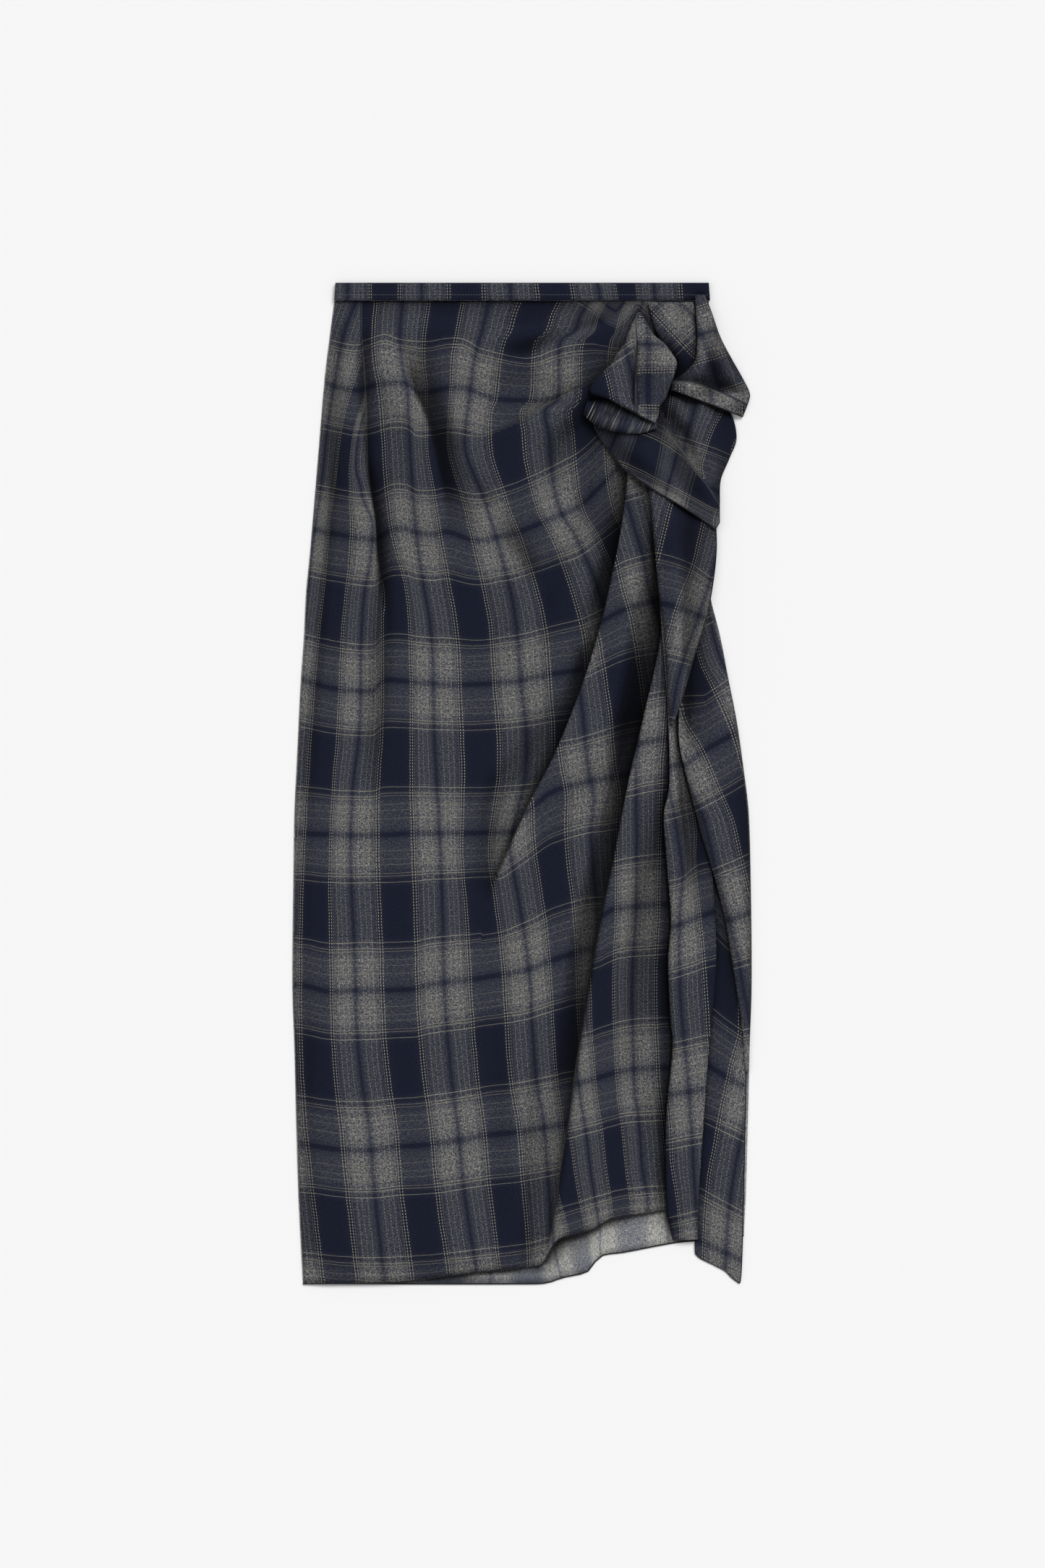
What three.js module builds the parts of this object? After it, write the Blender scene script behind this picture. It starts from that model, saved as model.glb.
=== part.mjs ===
// A draped wrap skirt laid flat: a standalone three.js model in millimetres.
// X runs across the skirt, Y from hem to waistband and Z up from the surface it lies on.
// The origin is under the middle of the skirt, on that surface.
import * as THREE from "three";

// Driving sizes
const WAIST = 356; // flat width of the waistband's top edge
const LENGTH = 955; // waistband top to hem corner
const TOP = LENGTH / 2; // Y of the waistband's top edge
const BAND_HEIGHT = 17;
const BAND_CLOTH = 2.2; // the band is a folded strip with its turnings inside
const CLOTH = 1.2; // wall of every cloth panel
const SEAM_GAP = 0.3; // between pieces that meet or lie on each other
const LOFT = 2.4; // air under the over wrap away from its edges
const SEAM_Y = TOP - BAND_HEIGHT; // lower edge of the waistband

const PANEL_TOP = SEAM_Y - SEAM_GAP;
const SIDE_INSET = 1; // a front panel stops this far inside the back panel's side

// Colours of the finished cloth, for the viewer
const NAVY = 0x1d2133;
const SLATE = 0x4a4f5c;
const GREY = 0x76786f;

// Outline of the laid skirt: the left and right sides at heights from waist to hem
const SIDES = [
  { y: 461, left: -179, right: 178 },
  { y: 430, left: -183, right: 178 },
  { y: 389, left: -188, right: 178 },
  { y: 306, left: -195, right: 178 },
  { y: 223, left: -202, right: 177 },
  { y: 182, left: -206, right: 179 },
  { y: 140, left: -208, right: 189 },
  { y: 99, left: -211, right: 197 },
  { y: 58, left: -213, right: 205 },
  { y: 16, left: -215, right: 211 },
  { y: -26, left: -217, right: 216 },
  { y: -88, left: -218, right: 218 },
  { y: -191, left: -219, right: 219 },
  { y: -253, left: -217, right: 217 },
  { y: -336, left: -215, right: 215 },
  { y: -398, left: -213, right: 213 },
  { y: -477, left: -209, right: 209 },
];

// Hem lines, left to right. The gathers at the hip lift the over wrap's hem off the back's.
const BACK_HEM = [
  { x: -209, y: -477 },
  { x: 9, y: -477 },
  { x: 24, y: -476 },
  { x: 39, y: -471 },
  { x: 61, y: -466 },
  { x: 67, y: -460 },
  { x: 73, y: -451 },
  { x: 96, y: -447 },
  { x: 143, y: -438 },
  { x: 163, y: -436 },
  { x: 209, y: -431 },
];
const OVER_HEM = [
  { x: -209, y: -477 },
  { x: -133, y: -476 },
  { x: -103, y: -474 },
  { x: -70, y: -469 },
  { x: -17, y: -463 },
  { x: 12, y: -460 },
  { x: 20, y: -457 },
  { x: 26, y: -447 },
  { x: 32, y: -438 },
  { x: 40, y: -432 },
  { x: 69, y: -424 },
  { x: 80, y: -416 },
  { x: 124, y: -409 },
  { x: 150, y: -404 },
];

// Folds of the over wrap that run down the skirt: where the edge of the fold's lip lies at each
// height, how high it stands and how far the cloth is drawn over the trough beside it
const HIP_FOLD = [
  { y: 375, x: 112, rise: 0, pull: 0 },
  { y: 334, x: 105, rise: 5, pull: 4 },
  { y: 306, x: 102, rise: 7, pull: 9 },
  { y: 265, x: 97, rise: 9, pull: 10 },
  { y: 224, x: 90, rise: 10, pull: 15 },
  { y: 156, x: 75, rise: 10, pull: 15 },
  { y: 98, x: 59, rise: 10, pull: 14 },
  { y: 27, x: 32, rise: 9, pull: 11 },
  { y: -25, x: 6, rise: 7, pull: 8 },
  { y: -64, x: -11, rise: 5, pull: 6 },
  { y: -85, x: -27, rise: 3, pull: 0 },
  { y: -125, x: -44, rise: 0, pull: 0 },
];
const FRONT_FOLD = [
  { y: 350, x: 128, rise: 0, pull: 0 },
  { y: 306, x: 124, rise: 4, pull: 2 },
  { y: 265, x: 125, rise: 6, pull: 4 },
  { y: 202, x: 130, rise: 7, pull: 7 },
  { y: 162, x: 130, rise: 8, pull: 10 },
  { y: 127, x: 126, rise: 8, pull: 13 },
  { y: 64, x: 114, rise: 8, pull: 11 },
  { y: 2, x: 101, rise: 8, pull: 9 },
  { y: -67, x: 87, rise: 8, pull: 9 },
  { y: -143, x: 72, rise: 7, pull: 8 },
  { y: -253, x: 54, rise: 6, pull: 7 },
  { y: -323, x: 45, rise: 6, pull: 7 },
  { y: -412, x: 31, rise: 6, pull: 7 },
  { y: -470, x: 22, rise: 6, pull: 7 },
];
const DART_FOLD = [
  { y: 430, x: -160, rise: 0, pull: 0 },
  { y: 361, x: -155, rise: 4, pull: 0 },
  { y: 324, x: -152, rise: 5, pull: 3 },
  { y: 292, x: -149, rise: 6, pull: 6 },
  { y: 250, x: -142, rise: 6, pull: 8 },
  { y: 222, x: -141, rise: 6, pull: 7 },
  { y: 193, x: -139, rise: 5, pull: 4 },
  { y: 147, x: -137, rise: 3, pull: 0 },
  { y: 51, x: -137, rise: 0, pull: 0 },
];
const HIP_CURVE_FOLD = [
  { y: 436, x: -127, rise: 0, pull: 0 },
  { y: 407, x: -116, rise: 3, pull: 0 },
  { y: 381, x: -109, rise: 5, pull: 1 },
  { y: 344, x: -93, rise: 6, pull: 2 },
  { y: 288, x: -81, rise: 5, pull: 1 },
  { y: 251, x: -76, rise: 3, pull: 0 },
  { y: 209, x: -74, rise: 0, pull: 0 },
];
const SIDE_VALLEY = [
  { y: 340, x: -188, rise: 0, pull: 0 },
  { y: 265, x: -190, rise: -2, pull: 0 },
  { y: 140, x: -197, rise: -2.2, pull: 0 },
  { y: 58, x: -203, rise: -2.2, pull: 0 },
  { y: -200, x: -202, rise: -2.2, pull: 0 },
  { y: -420, x: -196, rise: 0, pull: 0 },
];

// Folds that run across, from the gathers at the hip towards the left side
const UPPER_DRAPE = [
  { x: -62, y: 388, rise: 0, pull: 0 },
  { x: -15, y: 404, rise: 3, pull: 0 },
  { x: 14, y: 411, rise: 4, pull: 1 },
  { x: 50, y: 424, rise: 5, pull: 2 },
  { x: 75, y: 434, rise: 4, pull: 1 },
  { x: 100, y: 442, rise: 0, pull: 0 },
];
const LOWER_DRAPE = [
  { x: -38, y: 325, rise: 0, pull: 0 },
  { x: -4, y: 339, rise: 4, pull: 1 },
  { x: 6, y: 346, rise: 5, pull: 3 },
  { x: 32, y: 362, rise: 6, pull: 5 },
  { x: 64, y: 378, rise: 7, pull: 6 },
  { x: 84, y: 386, rise: 5, pull: 3 },
  { x: 108, y: 392, rise: 0, pull: 0 },
];

// Each fold: its lip, the way it runs, which side the lip faces, the width of its flank and how
// far the slope behind the crest reaches
const HIP_FOLD_DOWN = { lip: HIP_FOLD, runs: "down", faces: -1, flank: 7, slope: 34 };
const FRONT_FOLD_DOWN = { lip: FRONT_FOLD, runs: "down", faces: -1, flank: 7, slope: 26 };
const DART_FOLD_DOWN = { lip: DART_FOLD, runs: "down", faces: 1, flank: 7, slope: 16 };
const HIP_CURVE_DOWN = { lip: HIP_CURVE_FOLD, runs: "down", faces: 1, flank: 9, slope: 26 };
const FOLDS = [
  HIP_FOLD_DOWN,
  FRONT_FOLD_DOWN,
  DART_FOLD_DOWN,
  HIP_CURVE_DOWN,
  { lip: SIDE_VALLEY, runs: "down", faces: -1, flank: 8, slope: 12 },
  { lip: UPPER_DRAPE, runs: "across", faces: 1, flank: 8, slope: 20 },
  { lip: LOWER_DRAPE, runs: "across", faces: 1, flank: 7, slope: 24 },
];

// Right-hand end of the over wrap, tucked under the edge pleat
const OVER_END = [
  { y: 461, x: 174 },
  { y: 400, x: 172 },
  { y: 340, x: 166 },
  { y: 300, x: 156 },
  { y: 220, x: 150 },
  { y: -410, x: 150 },
];

// Strips laid over the wrap: at each station down the strip, where its two long edges lie and how
// high its crown stands
const UNDER_WRAP = [
  { y: 460, left: 90, right: 172, rise: 0 },
  { y: 300, left: 112, right: 170, rise: 0 },
  { y: 150, left: 135, right: 182, rise: 0 },
  { y: 0, left: 150, right: 207, rise: 0 },
  { y: -150, left: 158, right: 214, rise: 1 },
  { y: -300, left: 161, right: 213, rise: 1.5 },
  { y: -400, left: 164, right: 210, rise: 1 },
  { y: -462, left: 165.5, right: 207, rise: 0 },
];
const UNDER_HEM = [
  { x: 165, y: -448 },
  { x: 169, y: -452 },
  { x: 185, y: -460 },
  { x: 194, y: -465 },
  { x: 200, y: -471 },
  { x: 208, y: -477 },
];
const EDGE_PLEAT = [
  { y: 250, left: 128, right: 150, rise: 3 },
  { y: 160, left: 132, right: 148, rise: 3 },
  { y: 62, left: 139, right: 149, rise: 3 },
  { y: 3, left: 140, right: 162, rise: 4 },
  { y: -27, left: 133, right: 170, rise: 5 },
  { y: -74, left: 137, right: 180, rise: 6 },
  { y: -129, left: 141, right: 184, rise: 6 },
  { y: -170, left: 139, right: 185, rise: 6 },
  { y: -225, left: 140, right: 181, rise: 6 },
  { y: -253, left: 141, right: 178, rise: 6 },
  { y: -322, left: 135, right: 173, rise: 6 },
  { y: -398, left: 135, right: 168, rise: 5 },
  { y: -420, left: 139, right: 167.5, rise: 5 },
  { y: -435, left: 143, right: 167.5, rise: 4 },
];
const SIDE_PANEL = [
  { y: 460, left: 163, right: 177, rise: 0.5 },
  { y: 300, left: 160, right: 176, rise: 0.5 },
  { y: 182, left: 158, right: 178, rise: 1 },
  { y: 120, left: 152, right: 192, rise: 2 },
  { y: 62, left: 149, right: 203, rise: 4 },
  { y: 36, left: 150, right: 207, rise: 5 },
  { y: 13, left: 155, right: 210, rise: 6 },
  { y: -22, left: 164, right: 214, rise: 7 },
  { y: -55, left: 173, right: 216, rise: 7 },
  { y: -98, left: 186, right: 217, rise: 6 },
  { y: -143, left: 196, right: 217, rise: 5 },
  { y: -193, left: 204, right: 217.5, rise: 3.5 },
  { y: -233, left: 210, right: 217, rise: 2 },
  { y: -275, left: 213, right: 216, rise: 0.5 },
];

// Draped flounce at the hip: each piece by its two long edges, root first
const FLOUNCE_TAIL = [
  { ax: 118, ay: 320, bx: 176, by: 300, rise: 2 },
  { ax: 121, ay: 285, bx: 183, by: 262, rise: 4 },
  { ax: 125, ay: 240, bx: 185, by: 222, rise: 5 },
  { ax: 130, ay: 184, bx: 180, by: 180, rise: 5 },
  { ax: 135, ay: 150, bx: 173, by: 150, rise: 5 },
  { ax: 138, ay: 115, bx: 163, by: 120, rise: 4 },
  { ax: 139, ay: 85, bx: 154, by: 88, rise: 3 },
  { ax: 140, ay: 64, bx: 148, by: 64, rise: 2 },
];
const FLOUNCE_FALL = [
  { ax: 66, ay: 352, bx: 98, by: 378, rise: 2 },
  { ax: 70, ay: 338, bx: 120, by: 374, rise: 5 },
  { ax: 78, ay: 324, bx: 146, by: 376, rise: 8 },
  { ax: 89, ay: 310, bx: 172, by: 372, rise: 9 },
  { ax: 97, ay: 300, bx: 196, by: 357, rise: 9 },
  { ax: 110, ay: 290, bx: 204, by: 331, rise: 8 },
  { ax: 128, ay: 278, bx: 197, by: 310, rise: 7 },
  { ax: 148, ay: 266, bx: 189, by: 290, rise: 6 },
  { ax: 168, ay: 254, bx: 188, by: 268, rise: 4 },
  { ax: 184, ay: 243, bx: 188, by: 249, rise: 2 },
];
const FLOUNCE_ROLL = [
  { ax: 58, ay: 352, bx: 62, by: 364, rise: 3 },
  { ax: 72, ay: 340, bx: 80, by: 366, rise: 5 },
  { ax: 88, ay: 334, bx: 96, by: 362, rise: 6 },
  { ax: 108, ay: 332, bx: 114, by: 358, rise: 6 },
  { ax: 128, ay: 338, bx: 130, by: 352, rise: 3 },
];
const FLOUNCE_MIDDLE = [
  { ax: 128, ay: 440, bx: 160, by: 446, rise: 1 },
  { ax: 132, ay: 424, bx: 168, by: 428, rise: 4 },
  { ax: 137, ay: 404, bx: 172, by: 406, rise: 6 },
  { ax: 140, ay: 388, bx: 172, by: 388, rise: 6 },
  { ax: 136, ay: 376, bx: 158, by: 374, rise: 3 },
];
const FLOUNCE_RIGHT = [
  { ax: 165, ay: 466, bx: 174, by: 466, rise: 2 },
  { ax: 166, ay: 446, bx: 181, by: 447, rise: 5 },
  { ax: 167, ay: 424, bx: 189, by: 425, rise: 8 },
  { ax: 165, ay: 404, bx: 200, by: 404, rise: 10 },
  { ax: 157, ay: 393, bx: 209, by: 388, rise: 9 },
  { ax: 148, ay: 388, bx: 216, by: 374, rise: 6 },
  { ax: 143, ay: 382, bx: 216, by: 364, rise: 9 },
  { ax: 142, ay: 375, bx: 210, by: 350, rise: 6 },
];
const FLOUNCE_LEFT = [
  { ax: 107, ay: 446, bx: 116, by: 446, rise: 3 },
  { ax: 101, ay: 430, bx: 122, by: 434, rise: 6 },
  { ax: 92, ay: 412, bx: 133, by: 422, rise: 9 },
  { ax: 81, ay: 396, bx: 142, by: 410, rise: 11 },
  { ax: 68, ay: 382, bx: 147, by: 400, rise: 12 },
  { ax: 66, ay: 372, bx: 144, by: 388, rise: 12 },
  { ax: 82, ay: 366, bx: 139, by: 374, rise: 10 },
  { ax: 98, ay: 357, bx: 134, by: 360, rise: 7 },
  { ax: 116, ay: 348, bx: 128, by: 344, rise: 3 },
];

// Cross sections of a strip, edge a to edge b: how far along it lies and its share of the crown
const FLAT_SECTION = [
  { along: 0, share: 0 },
  { along: 0.12, share: 0.5 },
  { along: 0.35, share: 1 },
  { along: 0.65, share: 1 },
  { along: 0.88, share: 0.5 },
  { along: 1, share: 0 },
];
const LIP_SECTION = [
  { along: 0.2, share: 0 },
  { along: 0.06, share: 0.06 },
  { along: 0, share: 0.45 },
  { along: 0.05, share: 0.84 },
  { along: 0.16, share: 1 },
  { along: 0.35, share: 0.9 },
  { along: 0.6, share: 0.55 },
  { along: 0.85, share: 0.3 },
  { along: 1, share: 0.1 },
];
const PETAL_SECTION = [
  { along: 0.12, share: 0 },
  { along: 0.03, share: 0.1 },
  { along: 0, share: 0.4 },
  { along: 0.05, share: 0.75 },
  { along: 0.22, share: 1 },
  { along: 0.42, share: 0.78 },
  { along: 0.52, share: 0.6 },
  { along: 0.62, share: 0.82 },
  { along: 0.8, share: 0.95 },
  { along: 0.95, share: 0.7 },
  { along: 1, share: 0.35 },
  { along: 0.96, share: 0.05 },
  { along: 0.86, share: 0 },
];
const WAVE_SECTION = [
  { along: 0, share: 0.15 },
  { along: 0.1, share: 0.6 },
  { along: 0.22, share: 0.95 },
  { along: 0.36, share: 0.7 },
  { along: 0.48, share: 0.35 },
  { along: 0.6, share: 0.6 },
  { along: 0.76, share: 1 },
  { along: 0.9, share: 0.6 },
  { along: 1, share: 0.2 },
];

/** Eases from 0 to 1 as value goes from low to high. */
function ease(low, high, value) {
  const t = THREE.MathUtils.clamp((value - low) / (high - low), 0, 1);
  return t * t * (3 - 2 * t);
}

/** Reads a column of a table at a key by a curve through its rows, held level past its ends. */
function read(table, keyName, key, column) {
  const rising = table[0][keyName] < table[table.length - 1][keyName];
  const rows = rising ? table : [...table].reverse();
  const last = rows.length - 1;
  if (key <= rows[0][keyName]) return rows[0][column];
  if (key >= rows[last][keyName]) return rows[last][column];
  const i = rows.findIndex((row) => row[keyName] >= key) - 1;
  const [a, b] = [rows[i], rows[i + 1]];
  const before = rows[Math.max(i - 1, 0)];
  const after = rows[Math.min(i + 2, last)];
  const span = b[keyName] - a[keyName];
  const t = (key - a[keyName]) / span;
  const tangent = (from, to) =>
    (span * (to[column] - from[column])) / (to[keyName] - from[keyName]);
  const [m0, m1] = [tangent(before, b), tangent(a, after)];
  const [t2, t3] = [t * t, t * t * t];
  return (
    (2 * t3 - 3 * t2 + 1) * a[column] +
    (t3 - 2 * t2 + t) * m0 +
    (3 * t2 - 2 * t3) * b[column] +
    (t3 - t2) * m1
  );
}

/** How high the laid pieces reach over the surface, kept in square cells. */
class Pile {
  constructor() {
    this.cell = 2.5;
    this.half = { x: 240, y: 490 };
    this.columns = Math.ceil((2 * this.half.x) / this.cell);
    this.rows = Math.ceil((2 * this.half.y) / this.cell);
    this.tops = new Float32Array(this.columns * this.rows);
  }

  /** The highest top within reach of a point. */
  topNear(x, y, reach) {
    const span = Math.ceil(reach / this.cell);
    const column = Math.floor((x + this.half.x) / this.cell);
    const row = Math.floor((y + this.half.y) / this.cell);
    let top = 0;
    for (let r = row - span; r <= row + span; r++)
      for (let c = column - span; c <= column + span; c++)
        if (r >= 0 && r < this.rows && c >= 0 && c < this.columns)
          top = Math.max(top, this.tops[r * this.columns + c]);
    return top;
  }

  /** Adds a grid of points, with its four-sided cells filled in. */
  add(grid, thickness) {
    const corner = (a, b, c, d, s, t, axis) =>
      (1 - s) * ((1 - t) * a[axis] + t * b[axis]) + s * ((1 - t) * c[axis] + t * d[axis]);
    for (let j = 0; j + 1 < grid.length; j++)
      for (let i = 0; i + 1 < grid[j].length; i++) {
        const corners = [grid[j][i], grid[j][i + 1], grid[j + 1][i], grid[j + 1][i + 1]];
        const size = corners[0].distanceTo(corners[3]) + corners[1].distanceTo(corners[2]);
        const steps = Math.ceil(size / this.cell) + 1;
        for (let m = 0; m <= steps; m++)
          for (let n = 0; n <= steps; n++) {
            const [x, y, z] = ["x", "y", "z"].map((axis) =>
              corner(...corners, m / steps, n / steps, axis),
            );
            const c = Math.floor((x + this.half.x) / this.cell);
            const r = Math.floor((y + this.half.y) / this.cell);
            const at = r * this.columns + c;
            this.tops[at] = Math.max(this.tops[at], z + thickness / 2);
          }
      }
  }
}

const pile = new Pile();
const skirt = new THREE.Group();

/** The direction that a grid of points faces at one of its points. */
function facing(grid, j, i) {
  const rows = grid.length - 1;
  const columns = grid[0].length - 1;
  const across = grid[j][Math.min(i + 1, columns)].clone().sub(grid[j][Math.max(i - 1, 0)]);
  const along = grid[Math.min(j + 1, rows)][i].clone().sub(grid[Math.max(j - 1, 0)][i]);
  return across.cross(along).normalize();
}

/** A closed wall of an even thickness round a grid of points, whose rows run down the cloth. */
function wallOf(grid, thickness, flatUnder) {
  const [rows, columns] = [grid.length, grid[0].length];
  const positions = [];
  const push = (side) =>
    grid.forEach((row, j) =>
      row.forEach((point, i) => {
        const out = facing(grid, j, i).multiplyScalar((-side * thickness) / 2);
        const flat = new THREE.Vector3(0, 0, (side * thickness) / 2);
        positions.push(...point.clone().add(flatUnder ? flat : out));
      }),
    );
  push(1);
  push(-1);
  const indices = [];
  const quad = (a, b, c, d) => indices.push(a, b, c, a, c, d);
  const upper = (j, i) => j * columns + i;
  const lower = (j, i) => rows * columns + j * columns + i;
  for (let j = 0; j + 1 < rows; j++)
    for (let i = 0; i + 1 < columns; i++) {
      quad(upper(j, i), upper(j + 1, i), upper(j + 1, i + 1), upper(j, i + 1));
      quad(lower(j, i), lower(j, i + 1), lower(j + 1, i + 1), lower(j + 1, i));
    }
  for (let i = 0; i + 1 < columns; i++) {
    quad(upper(0, i), upper(0, i + 1), lower(0, i + 1), lower(0, i));
    quad(upper(rows - 1, i + 1), upper(rows - 1, i), lower(rows - 1, i), lower(rows - 1, i + 1));
  }
  for (let j = 0; j + 1 < rows; j++) {
    quad(upper(j + 1, 0), upper(j, 0), lower(j, 0), lower(j + 1, 0));
    quad(upper(j, columns - 1), upper(j + 1, columns - 1), lower(j + 1, columns - 1), lower(j, columns - 1));
  }
  const geometry = new THREE.BufferGeometry();
  geometry.setAttribute("position", new THREE.Float32BufferAttribute(positions, 3));
  geometry.setIndex(indices);
  geometry.computeVertexNormals();
  return geometry;
}

/** Adds one piece of cloth to the skirt and to the pile. */
function addPiece(name, grid, colour, thickness = CLOTH, flatUnder = false) {
  const material = new THREE.MeshStandardMaterial({ color: colour, roughness: 0.9, metalness: 0 });
  const mesh = new THREE.Mesh(wallOf(grid, thickness, flatUnder), material);
  mesh.name = name;
  skirt.add(mesh);
  pile.add(grid, thickness);
}

/**
 * Lays a grid of points on the pile: each point's z becomes its height over what is under it,
 * and every pass draws the cloth tighter over what it lies on, the last one also where it touches.
 */
function lay(grid, reach, passes) {
  const floor = grid.map((row) =>
    row.map((p) => pile.topNear(p.x, p.y, reach) + SEAM_GAP + CLOTH / 2),
  );
  let level = floor.map((row) => [...row]);
  const [rows, columns] = [grid.length - 1, grid[0].length - 1];
  for (let pass = 0; pass < passes; pass++)
    level = level.map((row, j) =>
      row.map((_, i) => {
        const around = [
          level[Math.max(j - 1, 0)][i],
          level[Math.min(j + 1, rows)][i],
          row[Math.max(i - 1, 0)],
          row[Math.min(i + 1, columns)],
        ];
        const mean = around.reduce((sum, z) => sum + z, 0) / around.length;
        return pass < passes - 1 ? Math.max(floor[j][i], mean) : (level[j][i] + mean) / 2;
      }),
    );
  grid.forEach((row, j) => row.forEach((p, i) => (p.z += level[j][i])));
}

/** Where a fold's crest lies before its lip is drawn over, by the place along the fold. */
function crestAt(fold, along) {
  const [key, across] = fold.runs === "down" ? ["y", "x"] : ["x", "y"];
  return read(fold.lip, key, along, across) - fold.faces * read(fold.lip, key, along, "pull");
}

/** The height and sideways shift that a fold gives the cloth at a point. */
function foldAt(fold, x, y) {
  const down = fold.runs === "down";
  const [key, along, across] = down ? ["y", y, x] : ["x", x, y];
  const rise = read(fold.lip, key, along, "rise");
  const pull = Math.max(0, read(fold.lip, key, along, "pull"));
  const behind = -fold.faces * (across - crestAt(fold, along));
  const up = ease(-1.8 * fold.flank, 0.4 * fold.flank, behind);
  const tail = Math.exp(-((Math.max(0, behind) / fold.slope) ** 2));
  const near = Math.exp(-((behind / fold.flank) ** 2));
  return { height: rise * up * tail, shift: fold.faces * pull * near, down };
}

/** A panel from the waist seam to a hem line, flat on the surface. */
function backPanel() {
  const [rows, columns] = [22, 12];
  return Array.from({ length: rows + 1 }, (_, j) =>
    Array.from({ length: columns + 1 }, (_, i) => {
      const u = i / columns;
      const foot = THREE.MathUtils.lerp(SIDES.at(-1).left, SIDES.at(-1).right, u);
      const y = THREE.MathUtils.lerp(PANEL_TOP, read(BACK_HEM, "x", foot, "y"), j / rows);
      const x = THREE.MathUtils.lerp(read(SIDES, "y", y, "left"), read(SIDES, "y", y, "right"), u);
      return new THREE.Vector3(x, y, CLOTH / 2);
    }),
  );
}

/** Places across the over wrap at a height, close together where its folds lie. */
function overColumns(y) {
  const left = read(SIDES, "y", y, "left") + SIDE_INSET;
  const right = read(OVER_END, "y", y, "x");
  const dart = crestAt(DART_FOLD_DOWN, y);
  const curve = crestAt(HIP_CURVE_DOWN, y);
  const hip = crestAt(HIP_FOLD_DOWN, y);
  const front = Math.min(right - 7, Math.max(hip + 23, crestAt(FRONT_FOLD_DOWN, y)));
  const guides = [
    { x: left, steps: 3 },
    { x: dart - 5, steps: 5 },
    { x: dart + 12, steps: 2 },
    { x: curve - 12, steps: 4 },
    { x: curve + 12, steps: 7 },
    { x: hip - 15, steps: 4 },
    { x: hip - 5, steps: 6 },
    { x: hip + 3, steps: 1 },
    { x: hip + 8, steps: 1 },
    { x: front - 14, steps: 3 },
    { x: front - 5, steps: 6 },
    { x: front + 3, steps: 1 },
    { x: front + 6, steps: 1 },
    { x: right, steps: 0 },
  ];
  const places = [];
  guides.slice(0, -1).forEach(({ x, steps }, k) => {
    for (let n = 0; n < steps; n++) places.push(x + ((guides[k + 1].x - x) * n) / steps);
  });
  return [...places, right];
}

/** The over wrap: the main front panel, gathered and folded towards the right hip. */
function overWrap() {
  const [topRows, rows] = [14, 40];
  const topShare = 0.16;
  const grid = Array.from({ length: rows + 1 }, (_, j) => {
    const share =
      j < topRows
        ? (topShare * j) / topRows
        : topShare + ((1 - topShare) * (j - topRows)) / (rows - topRows);
    const rowAt = (x) => THREE.MathUtils.lerp(PANEL_TOP, read(OVER_HEM, "x", x, "y"), share);
    return overColumns(rowAt(0)).map((start, i) => {
      // the row slants with the hem, so each column is found again at its own height
      let place = start;
      for (let pass = 0; pass < 4; pass++) place = overColumns(rowAt(place))[i];
      return new THREE.Vector3(place, rowAt(place), 0);
    });
  });
  lay(grid, 4, 4);
  const left = (y) => read(SIDES, "y", y, "left");
  grid.forEach((row) =>
    row.forEach((p) => {
      const [x, y] = [p.x, p.y];
      const inside = ease(0, 26, x - left(y)) * ease(0, 30, PANEL_TOP - y) * ease(0, 60, y + TOP + 20);
      let height = LOFT * inside * (1 - ease(120, 150, x));
      FOLDS.forEach((fold) => {
        const { height: up, shift, down } = foldAt(fold, x, y);
        height += up;
        if (down) p.x += shift;
        else p.y += shift;
      });
      p.z += Math.max(0, height);
    }),
  );
  return grid;
}

/**
 * A strip between two long edges, laid on the pile, with its crown from a cross section that
 * turns into a plain arch where the strip is too narrow to curl. Its seat is how far it settles.
 */
function strip(stations, section, options = {}) {
  const { steps = 2, reach = 5, passes = 6, square = false, seat = 0 } = options;
  const curve = (pick) =>
    new THREE.CatmullRomCurve3(stations.map(pick), false, "centripetal");
  const edgeA = curve((s) => new THREE.Vector3(square ? s.left : s.ax, square ? s.y : s.ay, s.rise));
  const edgeB = curve((s) => new THREE.Vector3(square ? s.right : s.bx, square ? s.y : s.by, s.rise));
  const last = (stations.length - 1) * steps;
  const crowns = [];
  const grid = Array.from({ length: last + 1 }, (_, j) => {
    const [a, b] = [edgeA.getPoint(j / last), edgeB.getPoint(j / last)];
    const curl = ease(15, 50, a.distanceTo(b));
    const even = (i) => i / (section.length - 1);
    const arch = (i) => Math.max(0, Math.sin(Math.PI * even(i))) ** 0.7;
    crowns.push(
      section.map(({ share }, i) => THREE.MathUtils.lerp(arch(i), share, curl) * Math.max(0, a.z)),
    );
    return section.map(({ along }, i) => {
      const p = a.clone().lerp(b, THREE.MathUtils.lerp(even(i), along, curl));
      return new THREE.Vector3(p.x, p.y, 0);
    });
  });
  lay(grid, reach, passes);
  grid.forEach((row, j) => row.forEach((p, i) => (p.z += crowns[j][i] - seat)));
  return grid;
}

/** The waistband's front or back: a straight folded strip above the waist seam. */
function waistband(z, crown) {
  const columns = 24;
  const heights = [TOP, TOP - 3, TOP - BAND_HEIGHT / 2, SEAM_Y + 3, SEAM_Y];
  return heights.map((y, j) =>
    Array.from({ length: columns + 1 }, (_, i) => {
      const half = WAIST / 2 + (TOP - y) * 0.07;
      const u = i / columns;
      const swell = crown * Math.sin(Math.PI * (j / (heights.length - 1))) * Math.sin(Math.PI * u);
      return new THREE.Vector3(-half + 2 * half * u, y, z + swell);
    }),
  );
}

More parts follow.
